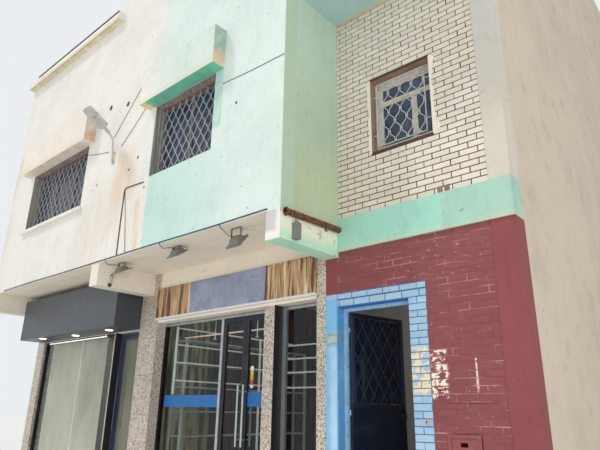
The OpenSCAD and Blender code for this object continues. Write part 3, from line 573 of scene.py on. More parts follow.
def metal_paint(name, base, worn, rough=0.42, metallic=0.0, wear=0.62, dust=0.25, zones=()):
    """Painted or bare metal with brushed tone, dust that gathers, chips and fine scratches.

    Each zone is (colour, options of Finish.area) and has a colour of its own.
    """
    f = Finish(name, base)
    for tint, area in zones:
        f.coat(tint, **area)
    cloud = f.noise(7, 5, 0.6)
    f.coat((0.82, 0.82, 0.82), cloud.ramp(0.35, 0.7), blend="MULTIPLY")
    f.coat(paint(168, 160, 146), cloud.ramp(0.48, 0.8), dust)
    chips = f.noise(28, 5, 0.65, shift=(3, 1, 5)).ramp(wear, wear + 0.03)
    f.coat(worn, chips)
    scratches = f.noise(45, 3, 0.6, stretch=(1, 1, 0.08))
    f.rough = cloud * 0.22 + chips * 0.2 + (rough - 0.08)
    f.height = f.noise(120, 3, 0.5) * 0.2 - chips * 0.5 + scratches * 0.25
    return f.finish(0.18, 0.002, Metallic=metallic)


def pane_painted_in_shade(name, base):
    """Opaque glass painted dark as the shade of the room behind it, dusty and streaked."""
    f = Finish(name)
    dust = f.noise(3.5, 6, 0.62)
    f.colour = f.mix(dust.ramp(0.35, 0.75), base, scaled(base, 2.4))
    streaks = f.noise(9, 4, 0.6, stretch=(1, 1, 0.15), shift=(2, 0, 0)).ramp(0.5, 0.8)
    f.coat(paint(120, 132, 146), streaks, 0.35)
    f.rough, f.height = dust * 0.25 + 0.02, dust
    return f.finish(0.03, 0.002, IOR=1.5)


def shop_pane(name, tint, film=None, film_share=0.0):
    """Clear glass with smears; between the two places in film it carries a pale film."""
    f = Finish(name)
    smear = f.noise(4, 5, 0.6, stretch=(1, 1, 0.4))
    f.colour = f.mix(smear.ramp(0.4, 0.8), tint, scaled(tint, 0.93))
    f.rough, f.height, clear = smear * 0.06, smear, 1.0
    if film:
        filmed = f.area(x=film, soft=0.006)
        haze = f.noise(1.1, 5, 0.6, stretch=(1, 1, 0.5), shift=(2, 0, 5)).ramp(0.34, 0.68)
        f.coat(f.mix(haze, paint(196, 196, 180), paint(164, 168, 152)), filmed)
        f.rough = f.rough + filmed * 0.12
        clear = 1.0 - filmed * film_share
    return f.finish(0.015, 0.002, IOR=1.25, Transmission_Weight=clear)


def sign_print(name):
    """A printed board of plain fields: strips of reed at both ends and a cloudy blue between."""
    f = Finish(name)
    haze = f.noise(2.6, 5, 0.6)
    fine = f.noise(30, 4, 0.6, stretch=(0.4, 1, 1.6)).ramp(0.56, 0.70)
    f.colour = f.mix(haze.ramp(0.35, 0.68), paint(128, 138, 160), paint(156, 162, 184))
    f.coat(paint(206, 206, 220), fine, 0.35)
    strips = f.noise(17, 4, 0.6, stretch=(1, 1, 0.07), bend=0.25)
    reeds = f.noise(48, 3, 0.6, stretch=(1, 1, 0.05), shift=(3, 0, 0), bend=0.3)
    ochre = f.mix(strips.ramp(0.40, 0.50), paint(96, 66, 44), paint(196, 158, 112))
    ochre = f.mix(strips.ramp(0.56, 0.64), ochre, paint(226, 208, 178))
    ochre = f.mix(reeds.ramp(0.52, 0.62) * 0.55, ochre, paint(84, 56, 38))
    for span in ((None, 0.056), (1.70, None)):
        f.coat(ochre, x=span, soft=0.008, wobble=0.01)
    f.coat(paint(226, 222, 222), z=(None, 2.822), soft=0.004)
    grime = f.noise(5, 5, 0.6, stretch=(1, 1, 0.3)).ramp(0.55, 0.8)
    f.coat(paint(110, 104, 100), grime, 0.25)
    f.rough, f.height = haze * 0.2 + 0.35, haze + reeds * 0.1
    return f.finish(0.12, 0.006)


def concrete_finish(name, base):
    f = Finish(name, base, 0.9)
    cloud, grit = f.noise(2.4, 6, 0.62), f.noise(70, 4, 0.6)
    f.coat(scaled(base, 0.72), cloud.ramp(0.35, 0.7))
    f.coat(scaled(base, 0.55), grit.ramp(0.55, 0.7), 0.3)
    f.height = cloud + grit * 0.4
    return f.finish(0.4, 0.008)


def glow(name, colour, strength):
    f = Finish(name, colour, 0.4)
    f.coat(scaled(colour, 0.9), f.noise(20, 3).ramp(0.3, 0.8))
    return f.finish(Emission_Color=colour, Emission_Strength=strength)


LOOKS = {}


def dress(material, *nodes):
    for node in nodes:
        mesh = NODES[node].data
        mesh.materials.clear()
        mesh.materials.append(material)
    return material


# ---------------------------------------------------------------------------------------------
# Meshes


def mesh_piece(name, mesh, body=BODY):
    """A finished piece, flat shaded, at the origin and riding on its body."""
    mesh.name = name
    for polygon in mesh.polygons:
        polygon.use_smooth = False
    made = bpy.data.objects.new(name, mesh)
    bpy.context.scene.collection.objects.link(made)
    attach(made, body)


def turned(place, axis, degrees):
    return Matrix.Translation(place) @ Matrix.Rotation(math.radians(degrees), 4, axis)


class Shape:
    """Collects solids in one mesh, each with a material."""

    def __init__(self):
        self.bm = bmesh.new()
        self.materials = []

    def take(self, faces, material):
        if material not in self.materials:
            self.materials.append(material)
        for face in faces:
            face.material_index = self.materials.index(material)

    def take_round(self, made, material):
        self.take({face for vert in made["verts"] for face in vert.link_faces}, material)

    def move(self, matrix):
        bmesh.ops.transform(self.bm, matrix=matrix, verts=self.bm.verts)

    def box(self, lo, hi, material, bevel=0.0):
        made = bmesh.ops.create_cube(self.bm, size=1.0)
        size = [b - a for a, b in zip(lo, hi)]
        middle = [(a + b) / 2 for a, b in zip(lo, hi)]
        place = Matrix.Translation(middle) @ Matrix.Diagonal((*size, 1.0))
        bmesh.ops.transform(self.bm, matrix=place, verts=made["verts"])
        self.take_round(made, material)
        if bevel:
            edges = list({edge for vert in made["verts"] for edge in vert.link_edges})
            cut = bmesh.ops.bevel(
                self.bm, geom=edges, offset=bevel, segments=2, profile=0.6, affect="EDGES",
            )
            self.take(cut["faces"], material)

    def rod(self, start, end, radius, material, sides=16, end_radius=None):
        a, b = Vector(start), Vector(end)
        turn = (b - a).to_track_quat("Z", "Y").to_matrix().to_4x4()
        self.take_round(bmesh.ops.create_cone(
            self.bm, cap_ends=True, segments=sides, radius1=radius,
            radius2=radius if end_radius is None else end_radius, depth=(b - a).length,
            matrix=Matrix.Translation((a + b) / 2) @ turn,
        ), material)

    def ball(self, centre, radius, material, sides):
        self.take_round(bmesh.ops.create_uvsphere(
            self.bm, u_segments=sides, v_segments=sides // 2, radius=radius,
            matrix=Matrix.Translation(centre),
        ), material)

    def plate(self, outline, y, thick, material):
        """A flat plate on an upright face: outline of (x, z), back at y, thick to the street."""
        front = [self.bm.verts.new((x, y - thick, z)) for x, z in outline]
        back = [self.bm.verts.new((x, y, z)) for x, z in outline]
        faces = [self.bm.faces.new(front), self.bm.faces.new(back[::-1])]
        for i in range(len(outline)):
            j = (i + 1) % len(outline)
            faces.append(self.bm.faces.new((front[j], front[i], back[i], back[j])))
        self.take(faces, material)
        bmesh.ops.recalc_face_normals(self.bm, faces=faces)

    def mesh(self, name):
        mesh = bpy.data.meshes.new(name)
        self.bm.to_mesh(mesh)
        self.bm.free()
        for material in self.materials:
            mesh.materials.append(material)
        return mesh

    def done(self, name, body=BODY):
        mesh_piece(name, self.mesh(name), body)


def joined(meshes):
    """One mesh from several, materials and attributes kept."""
    bm = bmesh.new()
    materials = []
    for mesh in meshes:
        for material in mesh.materials:
            if material not in materials:
                materials.append(material)
        numbers = [materials.index(material) for material in mesh.materials]
        start = len(bm.faces)
        bm.from_mesh(mesh)
        bm.faces.ensure_lookup_table()
        for face in bm.faces[start:]:
            face.material_index = numbers[face.material_index]
    whole = bpy.data.meshes.new("whole")
    bm.to_mesh(whole)
    bm.free()
    for material in materials:
        whole.materials.append(material)
    return whole


# ---------------------------------------------------------------------------------------------
# Geometry Nodes trees


class Growth(Tree):
    """A Geometry Nodes tree with named inputs that ends in Realize Instances and Set Material."""

    def __init__(self, name, sizes, counts):
        super().__init__(bpy.data.node_groups.new(name, "GeometryNodeTree"))
        for kind, names in (("Float", sizes), ("Int", counts), ("Material", ("Material",))):
            for size in names:
                self.socket(size, "INPUT", kind)
        self.socket("Geometry", "OUTPUT", "Geometry")
        given = self.node("NodeGroupInput").outputs
        self.given = {socket.name: Value(self, socket) for socket in given if socket.name}

    def socket(self, name, way, kind):
        self.tree.interface.new_socket(name, in_out=way, socket_type="NodeSocket" + kind)

    def vector(self, x=0.0, y=0.0, z=0.0):
        return self.get("ShaderNodeCombineXYZ", X=x, Y=y, Z=z)

    def switch(self, test, no, yes):
        values = {"Switch": test, "False": no, "True": yes}
        return self.get("GeometryNodeSwitch", {"input_type": "FLOAT"}, **values)

    def in_rows(self, length):
        """The row of a point and its place in it, where each row holds a length of points."""
        index = self.get("GeometryNodeInputIndex")
        row = ((index + 0.5) / length).floor()
        return row, index - row * length

    def random(self, least, most, salt):
        """A random number for each point; each salt gives other ones."""
        made = self.node("FunctionNodeRandomValue", {"data_type": "FLOAT"}, Seed=self.given["Seed"])
        made.inputs[2].default_value = least
        made.inputs[3].default_value = most
        self.feed(made.inputs["ID"], self.get("GeometryNodeInputIndex") + salt * 1000.0)
        return Value(self, made.outputs[1])

    def at(self, points, x, y, z):
        return self.get("GeometryNodeSetPosition", Geometry=points, Position=self.vector(x, y, z))

    def without(self, points, test):
        return self.get(
            "GeometryNodeDeleteGeometry", {"domain": "POINT"}, Geometry=points, Selection=test,
        )

    def copies(self, points, instance, **scale):
        return self.get(
            "GeometryNodeInstanceOnPoints", Points=points, Instance=instance, **scale,
        )

    def end(self, geometry):
        real = self.get("GeometryNodeRealizeInstances", Geometry=geometry)
        material = self.given["Material"]
        painted = self.get("GeometryNodeSetMaterial", Geometry=real, Material=material)
        self.node("NodeGroupOutput", Geometry=painted)
        return self.tree


def grown_mesh(tree, values):
    """The plain mesh that a tree makes from these inputs."""
    holder = bpy.data.objects.new("growing", bpy.data.meshes.new("growing"))
    bpy.context.scene.collection.objects.link(holder)
    modifier = holder.modifiers.new("grow", "NODES")
    modifier.node_group = tree
    wanted = dict(values)
    for item in tree.interface.items_tree:
        if item.in_out == "INPUT" and item.name in wanted:
            modifier[item.identifier] = wanted.pop(item.name)
    if wanted:
        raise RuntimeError(f"{tree.name} has no input named {sorted(wanted)}")
    graph = bpy.context.evaluated_depsgraph_get()
    made = bpy.data.meshes.new_from_object(holder.evaluated_get(graph))
    holder.modifiers.remove(modifier)
    bpy.data.objects.remove(holder)
    if not made.polygons:
        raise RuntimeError(f"{tree.name} made nothing")
    return made


TILE_THICK = 0.012
TILE_CHAMFER = 0.0032
# How far a tile may lie deeper or shallower than its neighbours
TILE_DEPTH_SPREAD = 0.0008
# Least width and height of a cut tile
SLIVER = (0.012, 0.008)
# An edge that cuts nothing
FAR = 1000.0


def tile_tree():
    """Rows of chamfered tiles on a wall along X, cut at the panel's edges and at one hole."""
    g = Growth(
        "tiled_panel",
        ("Left", "Right", "Foot", "Top", "Length", "Course", "Joint", "Proud", "Face", "Shift",
         "Rise", "Bond", "Hole Left", "Hole Right", "Hole Foot", "Hole Top", "Uneven"),
        ("Seed",),
    )
    v = g.given
    # Where each tile of the grid lies, before it is cut
    columns = g.math("CEIL", (v["Right"] - v["Left"]) / v["Length"]) + 3.0
    rows = g.math("CEIL", (v["Top"] - v["Foot"]) / v["Course"]) + 2.0
    points = g.get("GeometryNodePoints", Count=columns * rows)
    row, column = g.in_rows(columns)
    row = ((v["Foot"] - v["Rise"]) / v["Course"]).floor() + row
    column = ((v["Left"] - v["Shift"]) / v["Length"]).floor() - 1.0 + column
    column = column + row % 2.0 * v["Bond"]
    left = column * v["Length"] + v["Shift"] + g.random(-1.0, 1.0, 1) * v["Uneven"]
    right = left + v["Length"] - v["Joint"]
    foot = row * v["Course"] + v["Rise"]
    top = foot + v["Course"] - v["Joint"]
    # A tile beside the hole stops at its side, one only over or under it at its top or foot
    middle_x, middle_z = (left + right) * 0.5, (foot + top) * 0.5
    beside = (v["Hole Foot"] < middle_z) * (middle_z < v["Hole Top"])
    over = (v["Hole Left"] < middle_x) * (middle_x < v["Hole Right"]) * (1.0 - beside)
    on_left = middle_x < (v["Hole Left"] + v["Hole Right"]) * 0.5
    lower = middle_z < (v["Hole Foot"] + v["Hole Top"]) * 0.5
    left_stop = g.switch(beside * (1.0 - on_left), -FAR, v["Hole Right"])
    right_stop = g.switch(beside * on_left, FAR, v["Hole Left"])
    foot_stop = g.switch(over * (1.0 - lower), -FAR, v["Hole Top"])
    top_stop = g.switch(over * lower, FAR, v["Hole Foot"])
    left, right = left.most(v["Left"]).most(left_stop), right.least(v["Right"]).least(right_stop)
    foot, top = foot.most(v["Foot"]).most(foot_stop), top.least(v["Top"]).least(top_stop)
    wide, tall = right - left, top - foot
    # Points at the middles of the tiles, each with its size as a share of a whole one
    full_wide, full_tall = v["Length"] - v["Joint"], v["Course"] - v["Joint"]
    spread = g.random(-1.0, 1.0, 2) * TILE_DEPTH_SPREAD
    depth = v["Face"] - v["Proud"] + (spread + TILE_THICK / 2)
    laid = g.at(points, (left + right) * 0.5, depth, (foot + top) * 0.5)
    for name, value in (
        ("tile_w", wide / full_wide), ("tile_h", tall / full_tall),
        ("tone", g.random(0.0, 1.0, 3)), ("thin_tile", (wide < SLIVER[0]).most(tall < SLIVER[1])),
    ):
        laid = g.get(
            "GeometryNodeStoreNamedAttribute", {"data_type": "FLOAT", "domain": "POINT"},
            Geometry=laid, Name=name, Value=value,
        )

    def named(name):
        return g.get("GeometryNodeInputNamedAttribute", {"data_type": "FLOAT"}, Name=name)

    laid = g.without(laid, named("thin_tile") > 0.5)
    # One tile with its front edges pinched in
    size = g.vector(full_wide, TILE_THICK, full_tall)
    cube = g.get("GeometryNodeMeshCube", Size=size, Vertices_Y=3)
    split = g.node("ShaderNodeSeparateXYZ", Vector=g.get("GeometryNodeInputPosition"))
    x, y, z = (Value(g, socket) for socket in split.outputs)
    pinch = g.vector(g.math("SIGN", x) * -TILE_CHAMFER, 0.0, g.math("SIGN", z) * -TILE_CHAMFER)
    tile = g.get(
        "GeometryNodeSetPosition", Geometry=cube, Selection=y < -TILE_THICK / 4, Offset=pinch,
    )
    return g.end(g.copies(laid, tile, Scale=g.vector(named("tile_w"), 1.0, named("tile_h"))))


BEND_RADIUS = 0.018


def wave_tree():
    """Wavy upright bars, mirrored in turn, that meet their neighbours at welded plates."""
    g = Growth(
        "wavy_grille",
        ("First", "Pitch", "Foot", "Top", "Knot Top", "Knot Step", "Straight", "Wave", "Face",
         "Bar", "Plate", "Plate Height"),
        ("Bars", "Rows"),
    )
    v = g.given
    # Two points for each knot of a bar, and one at either end
    steps = v["Rows"] * 2.0 + 2.0
    line = g.get("GeometryNodeMeshLine", Count=steps, Offset=(0.0, 0.0, 0.01))
    lines = g.copies(g.get("GeometryNodePoints", Count=v["Bars"]), line)
    bar, step = g.in_rows(steps)
    row = ((step - 0.9) * 0.5).floor().most(0.0).least(v["Rows"] - 1.0)
    wave = 1.0 - (bar + row) % 2.0 * 2.0
    side = step % 2.0 * 2.0 - 1.0
    height = v["Knot Top"] - row * v["Knot Step"] + side * (v["Straight"] * 0.5)
    height = g.switch(step < 0.5, height, v["Top"])
    height = g.switch(steps - 1.5 < step, height, v["Foot"])
    across = bar * v["Pitch"] + v["First"] + wave * v["Wave"]
    points = g.get("GeometryNodeRealizeInstances", Geometry=lines)
    curve = g.get("GeometryNodeMeshToCurve", Mesh=g.at(points, across, v["Face"], height))
    bent = g.get(
        "GeometryNodeFilletCurve", {"mode": "POLY"}, Curve=curve, Radius=BEND_RADIUS,
        Limit_Radius=True, Count=3,
    )
    profile = g.get(
        "GeometryNodeCurvePrimitiveQuadrilateral", Width=v["Bar"], Height=v["Bar"] * 0.9,
    )
    bars = g.get("GeometryNodeCurveToMesh", Curve=bent, Profile_Curve=profile, Fill_Caps=True)
    # A plate at every second crossing, in turn from row to row
    crossings = g.get("GeometryNodePoints", Count=(v["Bars"] + 1.0) * v["Rows"])
    gap, row = g.in_rows(v["Rows"])
    across = (gap - 0.5) * v["Pitch"] + v["First"]
    crossings = g.at(crossings, across, v["Face"], v["Knot Top"] - row * v["Knot Step"])
    crossings = g.without(crossings, (gap + row) % 2.0 < 0.5)
    size = g.vector(v["Plate"], v["Bar"] * 1.2, v["Plate Height"])
    plates = g.copies(crossings, g.get("GeometryNodeMeshCube", Size=size))
    both = g.node("GeometryNodeJoinGeometry")
    g.feed(both.inputs[0], bars)
    g.feed(both.inputs[0], plates)
    return g.end(Value(g, both.outputs[0]))


NO_HOLE = {"Hole Left": -50.0, "Hole Right": -50.0, "Hole Foot": -50.0, "Hole Top": -50.0}


def tiled(sizes, panels, material, rise, shift, seed, **other):
    """Several tiled panels on one common grid, in one mesh."""
    tree = bpy.data.node_groups.get("tiled_panel") or tile_tree()
    common = {
        "Length": sizes.tile_length, "Course": sizes.tile_height, "Joint": sizes.tile_joint,
        "Proud": sizes.tile_proud, "Face": SHOP_Y, "Shift": shift, "Rise": rise, "Bond": 0.5,
        "Uneven": 0.002, "Material": material, **NO_HOLE,
    }
    return joined([
        grown_mesh(tree, {**common, "Seed": seed + number, **panel, **other})
        for number, panel in enumerate(panels)
    ])


def panel(left, right, foot, top, hole=None):
    """The inputs of a tiled panel; the hole is (left, right, foot, top) too."""
    names = ("Left", "Right", "Foot", "Top")
    values = dict(zip(names, (left, right, foot, top)))
    values.update(zip(NO_HOLE, hole or ()))
    return values


def wavy_grille(name, rim, **values):
    """Wavy bars and the rim that a Shape holds, in one piece."""
    tree = bpy.data.node_groups.get("wavy_grille") or wave_tree()
    bars = grown_mesh(tree, {key.replace("_", " "): value for key, value in values.items()})
    mesh_piece(name, joined([bars, rim.mesh("rim")]))


# ---------------------------------------------------------------------------------------------
# Operators


class Piece(bpy.types.Operator):
    """Common settings of the operators that make a group of pieces."""

    bl_options = {"REGISTER", "UNDO"}

    def execute(self, context):
        self.make(context.scene, context.scene.shop_colours, context.scene.shop_sizes)
        return {"FINISHED"}


class SHOP_OT_finishes(Piece):
    """Mix the building's paints, stones, metals and glass and give them to the frame"""

    bl_idname = "shop.finishes"
    bl_label = "Finishes"

    def make(self, scene, c, sizes):
        self.fronts(c)
        self.walls(c)
        self.entrance(c)
        self.shopfronts()
        self.metals(c)

    def fronts(self, c):
        for node in ("facade_left", "facade_right", "facade_second"):
            dress(front_finish(node + "_paint", c), node)
        pale = paint(214, 228, 219)
        # The hoods' right sides: painted shade in stained colours, above and below
        left_side_shade_and_stains = (paint(204, 188, 170), paint(198, 160, 134))
        right_side_shade_and_stains = (paint(146, 172, 156), paint(214, 184, 152))
        for node, *options in (
            ("hood_left", paint(242, 233, 222), paint(244, 230, 214), left_side_shade_and_stains),
            ("hood_right", pale, c.teal, right_side_shade_and_stains, 0.14),
            ("hood_second", pale, c.teal),
        ):
            dress(hood_finish(node, *options), node)
        for node, front in (
            ("parapet_coping", paint(242, 238, 224)), ("roof_coping", paint(230, 238, 228)),
        ):
            dress(coping_finish(node, front), node)
        dress(beam_finish("beam_right_render", c.white), "beam_right")
        dress(slab_finish("second_slab_render", c.cream, c.sky), "second_floor_slab")
        dress(bay_joints("bay_joints", c.joint, paint(160, 132, 108)), "recess_wall")

    def walls(self, c):
        sage_tints = (
            (paint(196, 206, 162), 0.6, dict(z=(None, 4.5), soft=0.6, wobble=0.3)),
            (paint(198, 222, 208), 0.6, dict(z=(5.6, None), soft=0.6, wobble=0.3)),
        )
        pier_tints = ((paint(208, 200, 184), 0.7, dict(z=(None, 5.2), soft=0.8, wobble=0.2)),)
        band_tints = (
            (paint(168, 202, 186), 0.9, dict(x=(4.38, None), soft=0.02, wobble=0.02)),
            (paint(214, 204, 170), 0.35, dict(z=(None, 3.34), soft=0.03, wobble=0.04)),
        )
        for name, base, tints, ageing, nodes in (
            ("white_render", c.white, (), dict(dirt=0.22),
             ("terrace_side_wall", "rear_wall_left", "rear_wall_right", "window_sill")),
            ("sage_render", c.sage, sage_tints, dict(dirt=0.12, streaks=0.15), ("return_wall",)),
            ("beam_render", paint(238, 230, 216), (), dict(dirt=0.15),
             ("beam_left", "beam_middle")),
            ("cream_render", c.cream, (), dict(dirt=0.15, streaks=0.12, crack=0.4),
             ("first_floor_slab", "left_shop_lintel", "right_shop_lintel")),
            ("pier_render", paint(206, 202, 195), pier_tints, dict(dirt=0.12, crack=0.4),
             ("recess_pier",)),
            ("party_wall_render", paint(206, 194, 174), (), dict(dirt=0.3),
             ("party_wall_left", "party_wall_right")),
            ("hall_plaster", paint(206, 204, 206), (), dict(streaks=0.2), ("hall_partition",)),
            ("band_paint", c.mint_deep, band_tints, dict(dirt=0.15, crack=0.4), ("painted_band",)),
            ("maroon_render", scaled(c.maroon, 1.08), (), dict(crack=0.2, dirt=0.12, marks=0.3),
             ("entrance_pier",)),
        ):
            dress(wall_finish(name, base, tints, **ageing), *nodes)
        dress(concrete_finish("roof_screed", paint(168, 160, 150)), "roof_slab")
        dress(concrete_finish("ground_concrete", paint(150, 146, 140)), "ground_slab")
        dress(shop_wall("shop_plaster"), "shop_partition")
        LOOKS["granite"] = dress(
            granite_finish("granite_cladding", c.granite),
            "left_pier", "middle_pier", "slim_post", "right_pier",
        )

    def entrance(self, c):
        """The walls round the doorway: blue at its left, joints of the tiles over and beside it."""
        blues = (
            (paint(196, 220, 236), 0.75,
             dict(x=(2.80, 2.905), z=(None, 2.3), soft=0.03, wobble=0.06, scale=6)),
            (paint(84, 156, 212), 0.8, dict(x=(2.90, None), soft=0.006)),
            (paint(120, 150, 110), 0.5,
             dict(x=(2.76, 2.92), z=(2.15, 2.30), soft=0.03, wobble=0.03)),
        )
        f = aged_wall(
            "blue_wall_paint", scaled(c.blue, 1.12), blues, dirt=0.15, streaks=0.3, marks=0.3,
        )
        f.coat(c.maroon, z=(2.766, None), soft=0.004, wobble=0.006, scale=12)
        dress(f.finish(0.4, 0.01), "entrance_wall_left")
        frame_top, deep_blue = high("entrance_frame").z, paint(66, 112, 158)
        over = (
            (deep_blue, dict(z=(None, frame_top + 0.172))),
            (paint(52, 126, 196), dict(z=(None, frame_top + 0.003))),
        )
        dress(entrance_joints("entrance_head_joints", c.maroon, over), "entrance_wall_over")
        beside = ((deep_blue, dict(x=(None, BLUE_RIGHT + 0.002), z=(None, BLUE_TOP))),)
        dress(entrance_joints("entrance_side_joints", c.maroon, beside), "entrance_wall_right")

    def shopfronts(self):
        """The panes, the printed board and the frames whose parts have colours of their own."""
        dress(sign_print("sign_print_sheet"), "sign_board")
        dress(pane_painted_in_shade("window_panes", paint(44, 54, 74)), "window_glass")
        tint = paint(226, 236, 234)
        dress(shop_pane("shop_panes", tint, (-4.56, -2.42), 0.88), "shop_glass")
        dress(shop_pane("left_door_pane", tint, (None, 0.0), 0.30), "left_shop_door_glass")
        dress(shop_pane("pair_door_panes", tint), "pair_door_left_glass", "pair_door_right_glass")
        grey, black, worn = paint(186, 190, 190), paint(26, 28, 32), paint(130, 132, 132)
        lo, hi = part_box("right_shop_frame")
        zones = (
            (black, dict(x=(None, lo.x + 0.052), z=(None, hi.z - 0.05), soft=0.001)),
            (paint(150, 154, 154), dict(z=(hi.z - 0.022, None), soft=0.001)),
        )
        dress(
            metal_paint("satin_aluminium", grey, worn, 0.36, 0.7, 0.72, 0.12, zones),
            "right_shop_frame",
        )
        sides = ((None, SHOP_GLASS_Y - 0.021), (SHOP_GLASS_Y + 0.021, None))
        handles = [(grey, dict(y=side, soft=0.001)) for side in sides]
        for node in ("pair_door_left", "pair_door_right"):
            stile = paint(40, 44, 54)
            dress(metal_paint(node + "_paint", stile, worn, 0.36, 0.4, 0.72, 0.1, handles), node)
        line = low("left_shop_door").x - 0.062
        bead = dict(x=(line + 0.0085, line + 0.014), y=(None, SHOP_GLASS_Y - 0.03), soft=0.001)
        zones = (
            (paint(190, 180, 166), dict(x=(line - 0.044, line - 0.006), soft=0.002)),
            (paint(206, 192, 172), bead),
            (paint(56, 66, 96), dict(x=(line + 0.014, None), soft=0.001)),
        )
        dress(
            metal_paint("black_frame_paint", black, paint(70, 66, 62), 0.4, dust=0.12, zones=zones),
            "left_shop_frame",
        )

    def metals(self, c):
        door_top, box_side = high("entrance_door").z, high("sign_box").x
        # The leaf is painted lighter over its grille: a painted highlight on the bars
        grille_highlight_zone = (paint(40, 54, 76), dict(z=(1.494, door_top - 0.045), soft=0.004))
        # The sign box's right side is painted darker: painted shade
        shaded_side_zone = (paint(66, 71, 78), dict(x=(box_side - 0.003, None), soft=0.001))
        # Look, colour, colour where it is worn, roughness, other options, nodes
        for name, base, worn, rough, options, *nodes in (
            ("maroon_metal_paint", scaled(c.maroon, 1.15), paint(96, 48, 48), 0.5, dict(wear=0.70),
             "meter_hatch"),
            ("blue_frame_paint", paint(156, 200, 232), paint(70, 110, 150), 0.5, {},
             "entrance_frame"),
            ("door_paint", paint(14, 28, 48), paint(60, 60, 64), 0.34,
             dict(dust=0.06, wear=0.68, zones=[grille_highlight_zone]), "entrance_door"),
            ("window_steel_paint", paint(166, 169, 172), paint(112, 96, 86), 0.5,
             dict(wear=0.64, dust=0.1)),
            ("window_frame_paint", paint(132, 128, 124), paint(96, 72, 56), 0.55, {},
             "window_frames"),
            ("bay_frame_paint", paint(216, 207, 194), paint(120, 100, 80), 0.6, {},
             "bay_window_frame"),
            ("shelf_sheet", paint(226, 226, 222), paint(150, 146, 140), 0.45, {}, "shop_shelves"),
            ("blue_aluminium", paint(52, 62, 92), paint(96, 96, 104), 0.35, dict(dust=0.1),
             "left_shop_door"),
            ("sign_box_sheet", paint(82, 89, 96), paint(60, 64, 68), 0.38,
             dict(dust=0.1, wear=0.74, zones=[shaded_side_zone]), "sign_box"),
            ("lamp_housing", paint(196, 192, 184), paint(120, 108, 96), 0.5, {}, "street_lamp"),
            ("box_paint", paint(126, 130, 120), paint(90, 84, 76), 0.5, dict(dust=0.4),
             "meter_box"),
            ("flood_housing", paint(124, 124, 120), paint(140, 120, 100), 0.5, dict(dust=0.4),
             "floodlights"),
            ("rusty_pipe", paint(122, 84, 60), paint(70, 46, 36), 0.8, dict(wear=0.52),
             "drip_ledge"),
            ("cable_sheath", paint(46, 44, 42), paint(110, 104, 96), 0.6, dict(wear=0.66),
             "wall_cables"),
            ("white_trim", paint(236, 234, 230), paint(150, 140, 128), 0.45, dict(wear=0.70)),
            ("dark_opening", paint(18, 17, 16), paint(30, 28, 26), 0.8, dict(dust=0.0)),
        ):
            LOOKS[name] = dress(metal_paint(name, base, worn, rough, **options), *nodes)


class SHOP_OT_bay_tiles(Piece):
    """Lay the cream brick tiles of the bay round its window, with smeared plaster beside it"""

    bl_idname = "shop.bay_tiles"
    bl_label = "Bay tiles"

    def make(self, scene, c, sizes):
        lo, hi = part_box("recess_wall")
        frame_lo, frame_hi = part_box("bay_window_frame")
        left, right, foot = frame_lo.x, frame_hi.x, frame_lo.z
        top = foot + 1.030
        area = dict(x=(2.9, 3.6), z=(3.7, 4.6), soft=0.3, scale=4.0)
        yellowed = (paint(222, 204, 172), 0.45, 0.50, area)
        tile = tile_finish(
            "bay_tile_paint", c.tile, (0.86, 0.80, 0.70), [yellowed],
            worn=(paint(176, 148, 122), 0.73), gloss=0.42, brush=0.10,
        )
        wall = panel(
            CORNER_X + 0.002, low("recess_pier").x - 0.002, lo.z + 0.002, hi.z - 0.002,
            hole=(left - 0.012, right + 0.012, foot - 0.010, top + 0.010),
        )
        mesh_piece("bay_tiles", tiled(sizes, [wall], tile, 3.727, 2.995, seed=11))
        plaster = wall_finish("bay_smears", paint(238, 230, 216), dirt=0.1, crack=0.4, streaks=0.05)
        shape = Shape()
        back, thick = SHOP_Y + 0.002, 0.0095
        shape.plate([
            (left - 0.030, foot - 0.012), (left - 0.004, foot - 0.02), (left - 0.004, top + 0.012),
            (left - 0.050, top + 0.014), (left - 0.075, top - 0.05), (left - 0.050, top - 0.17),
            (left - 0.062, top - 0.34), (left - 0.030, top - 0.46), (left - 0.052, top - 0.62),
            (left - 0.024, top - 0.80), (left - 0.060, foot + 0.14),
        ], back, thick, plaster)
        shape.plate([
            (right + 0.004, foot - 0.02), (right + 0.060, foot - 0.012),
            (right + 0.110, foot + 0.05), (right + 0.060, foot + 0.17),
            (right + 0.034, foot + 0.36), (right + 0.052, foot + 0.56),
            (right + 0.024, foot + 0.66), (right + 0.050, foot + 0.86),
            (right + 0.085, top - 0.04), (right + 0.040, top + 0.016), (right + 0.004, top + 0.012),
        ], back, thick, plaster)
        bare = concrete_finish("bare_backing", paint(140, 116, 92))
        for start in (4.335, 4.420):
            ends = (start, SHOP_Y - thick, 3.733), (start + 0.066, SHOP_Y + 0.001, 3.806)
            shape.box(*ends, bare, 0.003)
        shape.done("bay_smears")


